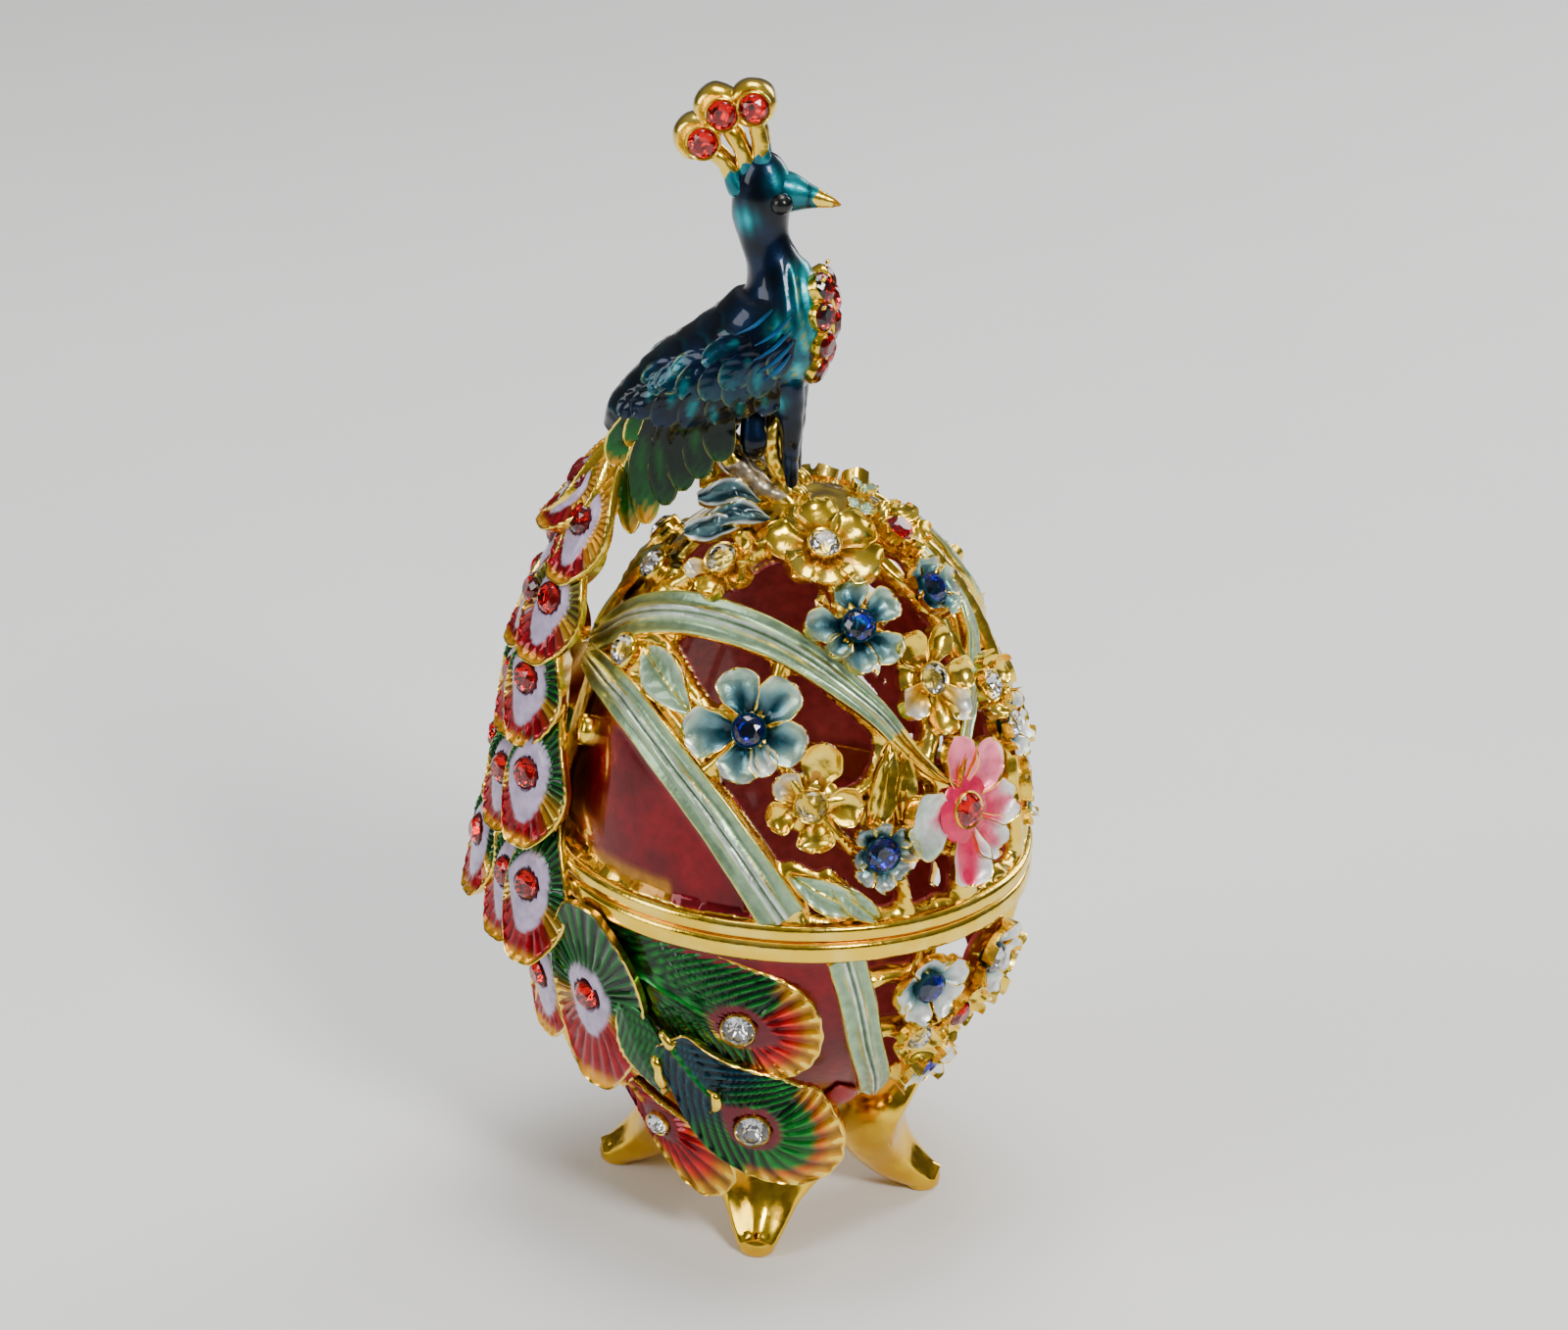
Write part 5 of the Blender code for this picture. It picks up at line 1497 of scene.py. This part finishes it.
# Strokes and wing feathers in the side view: root, tip and, for a feather, width.
SHOULDER_STROKES = [((-2.4, 56.6), (-5.6, 53.8)), ((-2.2, 55.4), (-5.6, 52.4)),
                    ((-2.0, 54.2), (-5.2, 51.2)), ((-4.2, 57.2), (-7.4, 54.6)),
                    ((-2.2, 53.0), (-4.6, 50.4))]
SCAPULARS = [((-6.0, 54.0), (-10.3, 51.2), 2.8), ((-9.2, 52.2), (-13.2, 49.9), 2.6),
             ((-12.2, 50.4), (-15.4, 47.8), 2.3), ((-5.0, 52.8), (-8.4, 49.4), 3.0)]
COVERTS_HIGH = [((-2.4, 54.6), (-3.6, 50.6), 2.6), ((-3.6, 53.4), (-5.2, 48.7), 3.0),
                ((-4.8, 52.4), (-7.8, 47.6), 3.2), ((-7.0, 52.2), (-10.1, 48.0), 3.2),
                ((-8.8, 51.8), (-12.4, 47.8), 3.2), ((-10.6, 51.4), (-14.6, 48.2), 3.0),
                ((-12.2, 51.0), (-16.2, 48.4), 2.6)]
COVERTS_LOW = [((-3.8, 50.4), (-4.3, 46.4), 2.8), ((-5.0, 50.2), (-6.9, 46.1), 3.2),
               ((-7.2, 49.6), (-9.2, 45.5), 3.2), ((-9.2, 49.4), (-11.9, 44.8), 3.2),
               ((-11.4, 49.4), (-14.6, 44.6), 3.2), ((-13.6, 49.0), (-16.8, 45.2), 3.0),
               ((-15.4, 48.4), (-18.3, 44.8), 2.6)]
PRIMARIES = [((-8.4, 47.4), (-8.4, 41.3), 3.2), ((-10.0, 47.2), (-10.3, 39.3), 3.3),
             ((-11.7, 46.8), (-12.0, 37.8), 3.3), ((-13.2, 46.4), (-13.6, 36.1), 3.3),
             ((-14.9, 45.6), (-15.5, 33.9), 3.5)]
TAIL_COVERTS = [((-15.8, 46.4), (-16.9, 41.4), 2.8), ((-17.6, 44.8), (-18.8, 39.4), 2.8),
                ((-16.6, 42.0), (-17.0, 32.6), 2.6), ((-18.2, 41.4), (-18.6, 34.4), 2.6)]

# How far each row stands off the body, its style, and how wide its gold rim is.
WING_ROWS = [(PRIMARIES[:-1], 0.1, "primary", 0.0), (PRIMARIES[-1:], 0.15, "long", 0.05),
             (TAIL_COVERTS, 0.0, "tail", 0.2), (COVERTS_LOW, 0.12, "low", -0.1),
             (COVERTS_HIGH, 0.24, "covert", -0.1), (SCAPULARS, 0.3, "scapular", -0.1)]

# Bib stones: (height, distance to the side), and their radius. Then the length of the small
# feathers on the bird's back.
BIB = [(58.7, -1.5), (58.7, 1.5), (57.4, 0.0), (56.2, -2.45), (56.2, 2.45), (54.9, 0.0),
       (53.2, -1.9), (53.2, 1.9), (51.9, 0.0), (50.4, -1.3), (50.4, 1.3)]
BIB_R = 1.5
BACK_FEATHER = 2.4


def bird_rings(count):
    centres = spline([c for c, *_ in BIRD_RINGS], count)
    depths = spline([d for _, d, *_ in BIRD_RINGS], count)
    halves = spline([h for _, _, h, _ in BIRD_RINGS], count)
    axes = unit(spline([a for *_, a in BIRD_RINGS], count))
    return centres, depths, halves, axes


def coarse_rings():
    """The bird's sections where a distance to its skin is read: centre, half depth, half width."""
    return list(zip(*bird_rings(60)[:3]))


def flank(x, z):
    """How far the bird's side stands from its middle plane at a place in the side view."""
    out = np.interp(-x, [5, 9.6, 17, 21], [4.3, 4.1, 2.9, 2.4]) * (z < 48)
    for (cx, cz), depth, half in coarse_rings():
        d = ((x - cx) ** 2 + (z - cz) ** 2) / depth**2
        out = np.maximum(out, half * np.sqrt(np.clip(1 - d, 0, 1)))
    return out


def bird_front(z, y):
    """The point of the breast at a height and a distance to the side."""
    best = -99.0
    for (cx, cz), depth, half in coarse_rings():
        d = 1 - ((z - cz) / depth) ** 2 - (y / half) ** 2
        if d > 0:
            best = max(best, cx + depth * math.sqrt(d))
    return np.array([best, y, z])


def front_normal(z, y):
    here = bird_front(z, y)
    over = bird_front(z + 0.3, y) - here
    across = bird_front(z, y + 0.3) - here
    return unit(np.cross(across, over)), here


# Where the bird's enamel is turquoise: (x, z) and size.
TURQUOISE_SPOTS = [((-1.6, 60.2), 1.0), ((-0.9, 58.6), 1.4), ((-0.2, 56.4), 1.6),
                   ((-0.8, 54.0), 1.3), ((-3.2, 69.0), 1.4), ((-1.9, 67.9), 1.2),
                   ((-7.6, 65.0), 1.1), ((-1.4, 51.0), 1.0), ((-3.2, 55.2), 1.1),
                   ((-3.4, 47.6), 0.8)]


def back_feathers(points):
    """Rows of small overlapping feathers on the back: 0 at each root, 1 at each tip."""
    x, y, z = points[..., 0], points[..., 1], points[..., 2]
    run = (-0.8 * x - 0.6 * (z - 50)) / BACK_FEATHER + 0.12 * rough(points, 3.0, 14.0)
    sway = math.pi * y / 2.6 + math.pi / 2 * np.floor(run)
    tips = np.mod(run + 0.3 * np.abs(np.sin(sway)), 1)
    return tips * smooth((-4.6 - x) / 3) * smooth((58 - z) / 3)


def bird_paint(points):
    """Deep blue enamel, turquoise on the breast and the face, greener towards the tail."""
    x, z = points[:, 0], points[:, 2]
    cloud = smooth(0.5 + 0.9 * rough(points, 2.6, 4.0))
    paint = mixed(cloud, INK, NAVY * 1.2)
    paint = mixed(0.6 * smooth((-12 - x) / 5) * cloud, paint, DARK_GREEN * 1.5)
    tips = back_feathers(points)
    paint = mixed(0.55 * smooth((tips - 0.6) / 0.3), paint, TEAL_DEEP)
    glow = np.zeros(len(points))
    for (cx, cz), size in TURQUOISE_SPOTS:
        glow = np.maximum(glow, np.exp(-((x - cx) ** 2 + (z - cz) ** 2) / size**2))
    streak = 0.7 + 0.3 * np.sin(x * 5.5 + z * 1.3)
    paint = mixed(np.clip(1.2 * glow * streak, 0, 1), paint, TURQUOISE * 0.75)
    bronze = smooth(np.sin(x * 4.2 + z * 0.9 + 1) * 3 - 2.2) * smooth((glow - 0.35) * 3)
    paint = mixed(bronze * (z < 60), paint, OLIVE * 1.2)
    return 1.0, paint, FOILED


def bird_body():
    count, sides = 150, 76
    centres, depths, halves, axes = bird_rings(count)
    a = circle(sides)
    front = np.stack([axes[:, 1], -axes[:, 0]], -1)
    rings = np.zeros((count, sides, 3))
    far = depths[:, None] * np.cos(a)
    rings[..., 0] = centres[:, :1] + front[:, :1] * far
    rings[..., 2] = centres[:, 1:] + front[:, 1:] * far
    rings[..., 1] = halves[:, None] * np.sin(a)
    hub = np.stack([centres[:, 0], 0 * depths, centres[:, 1]], -1)[:, None]
    x, z = rings[..., 0], rings[..., 2]
    flutes = 0.1 * np.sin(x * 5.5 + z * 1.3) * smooth((z - 49) / 2) * smooth((62 - z) / 2)
    swell = (flutes * smooth((x + 4.5) / 2) + 0.13 * back_feathers(rings) ** 1.5
             + 0.07 * rough(rings, 1.8, 6.0))
    points = (rings + unit(rings - hub) * swell[..., None]).reshape(-1, 3)
    return part(points, capped_faces(count, sides), *bird_paint(points))


# Enamel colours from root to tip of the strokes and of each row of wing feathers, and how much
# brighter the edge is.
WING_STYLES = {
    "stroke": [(0, TEAL_DEEP), (0.5, STROKE_BLUE), (1, NAVY * 1.4)],
    "scapular": [(0, INK), (0.5, NAVY), (0.8, TEAL_DEEP), (1, TEAL_DEEP * 1.6)],
    "covert": [(0, INK), (0.55, NAVY), (1, TEAL_DEEP * 0.8)],
    "low": [(0, INK * 0.6), (0.6, INK), (1, NAVY)],
    "primary": [(0, INK * 0.5), (0.5, DARK_GREEN * 0.5), (0.85, DARK_GREEN), (1, GREEN * 0.7)],
    "long": [(0, INK), (0.35, DARK_GREEN), (0.75, GREEN * 0.8), (0.9, BRIGHT_GREEN * 0.6),
             (1, AMBER)],
    "tail": [(0, DARK_GREEN), (0.5, GREEN), (0.8, BRIGHT_GREEN * 0.6), (1, AMBER * 0.7)],
}
RIM_SHARE = {"scapular": 0.4, "covert": 0.4, "low": 0.25, "primary": 0.25, "long": 0.5,
             "tail": 0.6}


def wing_feather(root, tip, width, side, lift, style, rim):
    """A feather on the bird's side, with a shaft, fine barbs and a bright edge."""
    rows = 18
    t = np.linspace(0, 1, rows)
    root, tip = np.array(root, float), np.array(tip, float)
    run = tip - root
    bend = np.array([run[1], -run[0]]) * 0.05
    flat = root + run * t[:, None] + bend * np.sin(math.pi * t)[:, None]
    x, z = flat[:, 0], flat[:, 1]
    y = flank(x, z)
    slope_x = (flank(x + 0.3, z) - flank(x - 0.3, z)) / 0.6
    slope_z = (flank(x, z + 0.3) - flank(x, z - 0.3)) / 0.6
    steep = np.clip(np.stack([-slope_x, 1 + 0 * x, -slope_z], -1), -0.8, 1)
    kernel = np.ones(5) / 5
    for values in (y, steep[:, 0], steep[:, 2]):
        values[:] = np.convolve(np.pad(values, 2, mode="edge"), kernel, mode="valid")
    ups = unit(steep)
    path = np.stack([x, y, z], -1) + ups * (lift + 0.2 * t)[:, None]
    path[:, 1] *= side
    ups[:, 1] *= side
    length = np.linalg.norm(run)
    round_end = np.sqrt(np.clip(1 - (np.clip(t - 0.62, 0, 1) / 0.39) ** 2, 0, 1))
    half = width / 2 * (0.6 + 0.4 * smooth(t / 0.5)) * round_end
    slant = 1 if side < 0 else -1

    def relief(u, v, x, w):
        return (0.14 * (1 - u**2) + 0.09 * bump(u, 0.14) + 0.05 * striped(x, v, length, 1.1, 5.0)
                + 0.07 * bump(np.abs(u) - 0.9, 0.1) + 0.1 * u * slant)

    def finish(u, v, x, w):
        gap = np.minimum((1 - np.abs(u)) * w, (1.0 - v) * length * 0.8)
        # Painted shade: the enamel is a little darker between the raised barbs.
        shade = 0.5 + 0.5 * striped(x, v, length, 1.1, 5.0)
        paint = ramp(np.clip(v + 0.1 * shade, 0, 1), *WING_STYLES[style])
        # Painted glints: streaks of brighter enamel stand in for highlights, and the bright edge
        # follows them.
        glint = smooth(2 * np.sin(root[0] * 5.1 + root[1] * 3.7 + 6 * v + 2 * u) - 0.6)
        paint = mixed(bump(u - 0.3, 0.3) * glint * 0.6 * (v > 0.2), paint, BRIGHT_GREEN * 0.5
                      if style in ("primary", "long", "tail") else TURQUOISE * 0.5)
        bright = smooth((0.3 - gap) / 0.2) * smooth((v - 0.45) / 0.3)
        paint = mixed(RIM_SHARE[style] * bright * (0.25 + 0.75 * glint), paint, OLIVE)
        return gap - rim, paint, FOILED

    return blade(path, ups, half, relief, finish, across=13, thick=0.9, under=INK)


def stroke(root, tip, side):
    """A thin raised line of bright enamel at the shoulder."""
    ends = np.array([root, tip], float)
    flat = spline([ends[0], ends.mean(0) + [0.1, -0.25], ends[1]], 16)
    y = flank(flat[:, 0], flat[:, 1]) + 0.62
    path = np.stack([flat[:, 0], y * side, flat[:, 1]], -1)

    def paint(points):
        return 0.5, ramp(np.linspace(0, 1, len(points)), *WING_STYLES["stroke"]), 0.9

    return tube(path, [0.1, 0.2, 0.22, 0.16, 0.08], 20, 10, finish=paint)


def eye_bead(side):
    profile = [(0.9, -0.8), (1.1, -0.3), (1.05, 0.2), (0.85, 0.66), (0.45, 0.97), (0.0, 1.05)]
    return lathe(profile, (-4.0, side * 2.0, 66.8), (0.25, side, -0.05), sides=24,
                 finish=(1.0, INK * 0.3, 0.0))


def crest():
    """Three gold lobes on ridged shafts, each with a red stone on the right side."""
    roots = []
    for k, ((x, z), (stone_x, stone_z)) in enumerate(CREST):
        profile = [(0.3, -CREST_T), (1.4, -CREST_T), (2.0, -CREST_T + 0.25),
                   (CREST_R, -0.7), (CREST_R, 0.5), (2.05, CREST_T - 0.2), (1.7, CREST_T),
                   (1.45, CREST_T - 0.25), (0.3, CREST_T - 0.5)]
        lobe = lathe(profile, (x, 0, z), (0, -1, 0), sides=40)
        lobe["points"] += 0.12 * rough(lobe["points"], 1.6, 3.0 + k)[:, None]
        roots.append(lobe)
        seat = np.array([stone_x, -CREST_T - 0.05, stone_z])
        roots.append(setting(seat, (0, -1, 0), STONE_R, 0.0))
        stone(f"rhinestone_crest_{k + 1}", seat + [0, -0.12, 0], (0, -1, 0), "red", 1.5, k)
        rx, rz = CREST_ROOTS[k]
        for y in (-0.75, 0.75):
            shaft = [(rx, y * 0.8, rz - 1.2), ((rx * 2 + x) / 3, y, (rz * 2 + z) / 3 + 0.1),
                     (x + (rx - x) * 0.3, y, z + (rz - z) * 0.3)]
            roots.append(tube(shaft, [1.0, 0.8, 0.85], 24, 14, bumps=0.14, finish=crest_paint))
    return roots


def crest_paint(points):
    x, z = points[:, 0], points[:, 2]
    height = z - 71.4 - 0.7 * (x + 6.1) + 0.35 * np.sin(x * 5)
    cloud = (0.5 + 0.5 * rough(points, 0.9, 1.0))[:, None]
    return -height * 0.8, TEAL_DEEP + (TURQUOISE - TEAL_DEEP) * 0.5 * cloud, 0.8


def beak_paint(points):
    x = points[:, 0]
    cell = -0.9 - x + 0.25 * np.sin(points[:, 2] * 4)
    upper = smooth((points[:, 2] - 66.6) / 1.2)
    paint = mixed(smooth((x + 4.6) / 2.0) * (0.3 + 0.5 * upper), NAVY, TURQUOISE * 0.6)
    # Painted shade: a dark line where the brow ends stands in for the shadow in a groove.
    paint = mixed(bump(x + 1.5, 0.16), paint, INK)
    tip = x > 0.75
    cell = np.where(tip, 1.0, cell)
    paint = np.where(tip[:, None], AMBER * 0.6, paint)
    return cell, paint, FOILED


def beak():
    """A rod along the middle plane, oval in section."""
    path = np.array([(x, 0, z) for (x, z), *_ in BEAK], float)
    depths = [depth for _, depth, _ in BEAK]
    ratio = np.mean(np.array([half for *_, half in BEAK]) / np.array(depths))
    return tube(path, depths, 40, 32, flat=(1.0, ratio), bumps=0.05, finish=beak_paint)


def on_side(side, points):
    return [(x, side * y, z) for x, y, z in points]


def legs(side):
    """A leg, a thigh and the gold leaf behind it."""
    thigh = [(-3.6, 1.6, 51.4), (-2.8, 2.3, 48.6), (-2.0, 2.5, 45.4), (-1.85, 2.4, 41.8),
             (-1.7, 2.3, 38.4)]
    ball = [(-5.6, 2.6, 45.4), (-5.4, 2.9, 43.4), (-5.4, 2.9, 42.6)]
    leaf = [(-3.0, 2.2, 45.6), (-3.9, 2.4, 43.6), (-3.4, 2.4, 41.2), (-2.4, 2.3, 39.2),
            (-1.5, 2.2, 37.6)]
    made = [tube(on_side(side, thigh), [2.2, 2.1, 1.3, 0.9, 0.75], 48, 24, bumps=0.12,
                 finish=bird_paint),
            tube(on_side(side, ball), [1.2, 1.45, 1.35], 20, 24, finish=bird_paint),
            tube(on_side(side, leaf), [0.5, 0.95, 0.8, 0.8, 1.0], 36, 16, bumps=0.25)]
    for dx, dy in ((1.6, -0.8), (1.9, 0.2), (1.3, 1.1)):
        claw = [(-1.9, 2.3, 38.4), (-1.5 + dx * 0.5, 2.3 - dy * 0.5, 38.1),
                (-1.6 + dx, 2.3 - dy, 36.9)]
        made.append(tube(on_side(side, claw), [0.6, 0.5, 0.3], 14, 12, bumps=0.1))
    return made


def bark(points):
    """Worn grey patches over the gold of the branch."""
    worn = rough(points, 1.4, 11.0) * 0.9 + 0.15
    tone = smooth(0.5 + rough(points, 0.8, 12.0))
    return worn, mixed(tone, BARK, BARK_PALE), 0.8


def perch():
    """The gnarled branch under the bird, on a heap of cast gold at the egg's top."""
    made = []
    bough = [(-9.4, 1.8, 42.6), (-7.6, 2.0, 40.7), (-5.6, 2.2, 39.2), (-3.9, 2.3, 37.9),
             (-1.6, 2.3, 36.6)]
    for side in (-1, 1):
        made.append(tube(on_side(side, bough), [0.9, 1.1, 1.0, 1.1, 1.3], 44, 18, bumps=0.3,
                         finish=bark))
    made.append(tube([(-9.0, -1.6, 41.8), (-7.4, 0, 40.0), (-5.2, 0.6, 38.2), (-3, 0, 37)],
                     [1.2, 1.5, 1.5, 1.3], 40, 20, bumps=0.35, finish=bark))
    made.append(tube([(-12.0, 0, 44.8), (-9.6, 0, 42.9), (-8.2, 0, 40.8)], [2.2, 1.9, 1.5], 24,
                     20, bumps=0.2))
    return made


def bird():
    piece("peacock_body", [bird_body(), beak()], ENAMEL, "blue_enamel", ["peacock"])
    for side, word in ((-1, "right"), (1, "left")):
        made = [wing_feather(root, tip, width, side, lift + 0.04 * (k % 2), style, rim)
                for rows, lift, style, rim in WING_ROWS
                for k, (root, tip, width) in enumerate(rows)]
        made += [stroke(root, tip, side) for root, tip in SHOULDER_STROKES]
        piece("peacock_wing_" + word, made, ENAMEL, "blue_enamel")
        piece("peacock_leg_" + word, legs(side), ENAMEL, "blue_enamel")
        piece("peacock_eye_" + word, [eye_bead(side)], ENAMEL, "blue_enamel")
    piece("peacock_crest", crest(), ENAMEL, "gold_plate")
    piece("peacock_perch", perch(), ENAMEL, "gold_plate")
    cups = []
    for k, (z, y) in enumerate(BIB):
        normal, here = front_normal(z, y)
        cups.append(setting(here, normal, BIB_R, 0.05, 0.08))
        stone(f"bib_stone_{k + 1}", here + normal * 0.25, normal, "red", BIB_R, k)
        grain = here + np.array([0.1, 1.55 if y >= 0 else -1.55, 1.25])
        cups.append(tube([grain - [0.1, 0, 0.1], grain, grain + [0.1, 0, 0.1]],
                         [0.16, 0.24, 0.16], 6, 10))
    piece("peacock_bib", cups, POLISHED, "gold_plate")


# Feet: azimuth, then the spine as (r, z), half widths and how thick they are inwards.
FEET = {"foot_right": -90, "foot_front": 0, "foot_left": 90, "foot_back": 180}
FOOT_SPINE = [(15.9, -21.8), (14.8, -24.6), (13.3, -28.2), (12.7, -31.6), (14.0, -34.8),
              (16.2, -37.5), (17.4, -38.3)]
FOOT_WIDTHS = [5.2, 7.4, 8.4, 6.6, 4.0, 2.5, 1.8]
FOOT_INWARD = [2.6, 4.8, 6.2, 6.0, 4.4, 2.4, 1.2]
PAD_R = 1.9


def foot(name, azimuth):
    """A polished cabriole foot: broad under the bowl, a soft ridge, and a flat pad."""
    a = math.radians(azimuth)
    out = np.array([math.cos(a), math.sin(a), 0])
    side = np.array([-math.sin(a), math.cos(a), 0])
    count, around = 64, 56
    r, z = spline(FOOT_SPINE, count).T
    width, inward = spline(FOOT_WIDTHS, count), spline(FOOT_INWARD, count)
    spine = out * r[:, None] + UP * z[:, None]
    along = unit(np.gradient(spine, axis=0))
    face = np.cross(along, side)
    turn = circle(around)
    c, s = np.cos(turn), np.sin(turn)
    depth = np.where(s > 0, 1.0, inward[:, None]) * s - 0.25
    ridge = 0.5 * bump(c, 0.35) * np.maximum(s, 0) * smooth((-26 - z) / 4)[:, None]
    wide = width[:, None] * np.sign(c) * np.abs(c) ** 0.85
    rings = spine[:, None] + side * wide[..., None] + face[:, None] * (depth + ridge)[..., None]
    rings = rings + face[:, None] * (0.12 * rough(rings, 5.0, azimuth))[..., None]
    points = rings.reshape(-1, 3)
    inner = np.sum((points / [EGG_R, EGG_R, BOWL_D]) ** 2, axis=1) < 1.0
    points[inner] = settle(points[inner], np.full(inner.sum(), -0.35))
    points[:, 2] = np.maximum(points[:, 2], -SEAM_Z + 0.15)
    centre = out * (FOOT_R - PAD_R) - UP * SEAM_Z
    pad = [(0.2, 0), (PAD_R - 0.25, 0), (PAD_R, 0.25), (PAD_R + 0.12, 1.0), (PAD_R, 1.6),
           (PAD_R * 0.8, 2.3), (PAD_R * 0.45, 2.8), (0.2, 3.0)]
    made = [part(points, capped_faces(count, around)), lathe(pad, centre, sides=40)]
    piece(name + "_cast", made, SMOOTH, "gold_plate", [name])


def lacquer_drop(side):
    """Red lacquer that ran from the bowl's panel down to the foot."""
    path = egg_path([(side * 65, -20.2), (side * 61.5, -22.2), (side * 57.5, -24.4)], 4)
    return tube(path, [0.3, 1.0, 1.5, 1.2, 0.3], 30, 20, flat=(1.3, 0.6),
                facing=egg_normal(path[1]), finish=lambda points: (1.0, CRIMSON * 1.3, 0.6))


# The studio, in metres: half the floor's side and its height, where the lamps look, each lamp's
# name, place, size, power and colour, the grey of the room below, at some height and above, and
# that height.
FLOOR_HALF = 3.0
FLOOR_Z = -0.00004
LAMP_TARGET = (0, 0, 0.055)
LAMPS = [("key", (0.42, -0.55, 0.62), (0.20, 0.20), 5.6, (1.0, 0.98, 0.95)),
         ("fill", (-0.60, -0.35, 0.35), (0.30, 0.40), 2.4, (1, 1, 1)),
         ("top", (0.0, 0.10, 0.75), (0.35, 0.35), 3.6, (1, 1, 1)),
         ("back", (0.45, 0.60, 0.40), (0.30, 0.40), 3.0, (1, 1, 1))]
WORLD_LOW = (0.08, 0.08, 0.08, 1)
WORLD_MIDDLE = (0.13, 0.13, 0.13, 1)
WORLD_HIGH = (0.38, 0.38, 0.38, 1)
WORLD_LEVEL = 0.35


def stage():
    """A pale paper floor that fills the view."""
    cells = 24
    grid = np.linspace(-FLOOR_HALF, FLOOR_HALF, cells)
    x, y = np.meshgrid(grid, grid, indexing="ij")
    mesh = bpy.data.meshes.new("floor")
    mesh.from_pydata(np.stack([x, y, np.full_like(x, FLOOR_Z)], -1).reshape(-1, 3).tolist(), [],
                     grid_faces(cells, cells))
    paper = finish_named("floor_paper")
    tone = paper.blend(paper.grain(40.0), (0.86, 0.86, 0.85, 1), (0.9, 0.9, 0.89, 1))
    mesh.materials.append(paper.set(Base_Color=tone, Roughness=0.75,
                                    Normal=paper.shape(paper.grain(0.6), 0.02)))
    put("floor", mesh)


def lamp(name, place, size, power, colour):
    data = bpy.data.lights.new(name, "AREA")
    data.shape = "RECTANGLE"
    data.size, data.size_y = size
    data.energy = power
    data.color = colour
    made = put(name, data)
    made.location = place
    aim = Vector(LAMP_TARGET) - Vector(place)
    made.rotation_mode = "QUATERNION"
    made.rotation_quaternion = aim.to_track_quat("-Z", "Y")


def sky():
    """A pale room: bright above, greyer to the sides, so that the gold has something to show."""
    world = bpy.data.worlds.new("studio")
    bpy.context.scene.world = world
    make = Nodes(world, "Background")
    place = make.add("TexCoord").outputs["Generated"]
    height = make.add("SeparateXYZ", {0: place}).outputs["Z"]
    tones = make.add("ValToRGB", {0: height})
    stops = tones.color_ramp.elements
    stops[0].color, stops[1].color = WORLD_LOW, WORLD_HIGH
    stops.new(WORLD_LEVEL).color = WORLD_MIDDLE
    make.set(Color=tones.outputs[0], Strength=1.0)


# The camera, in millimetres from the seam's centre and in degrees.
CAMERA_PLACE = (18.93, -361.21, 170.79)
CAMERA_LENS = 89.79
CAMERA_WIDTH = 36.0
CAMERA_HEADING = 3.226
CAMERA_PITCH = 22.820
CAMERA_ROLL = 3.208


def camera():
    data = bpy.data.cameras.new("camera")
    data.lens, data.sensor_width, data.sensor_fit = CAMERA_LENS, CAMERA_WIDTH, "HORIZONTAL"
    data.clip_start, data.clip_end = 0.01, 20
    heading, pitch, roll = (math.radians(d) for d in (CAMERA_HEADING, CAMERA_PITCH, CAMERA_ROLL))
    ahead = Vector((-math.sin(heading) * math.cos(pitch), math.cos(heading) * math.cos(pitch),
                    -math.sin(pitch)))
    right = ahead.cross(Vector(UP)).normalized()
    up = right.cross(ahead)
    across = math.cos(roll) * right + math.sin(roll) * up
    over = math.cos(roll) * up - math.sin(roll) * right
    turn = Matrix((across, over, -ahead)).transposed()
    made = put("camera", data)
    made.matrix_world = Matrix.Translation(SEAM_CENTRE + Vector(CAMERA_PLACE) * MM) @ turn.to_4x4()
    bpy.context.scene.camera = made


shells()
train()
bird()
for foot_name, foot_azimuth in FEET.items():
    foot(foot_name, foot_azimuth)
piece("red_lacquer", [lacquer_drop(-1), lacquer_drop(1)], ENAMEL, "gold_plate")
stage()
sky()
for lamp_name, *lamp_facts in LAMPS:
    lamp(lamp_name, *lamp_facts)
camera()
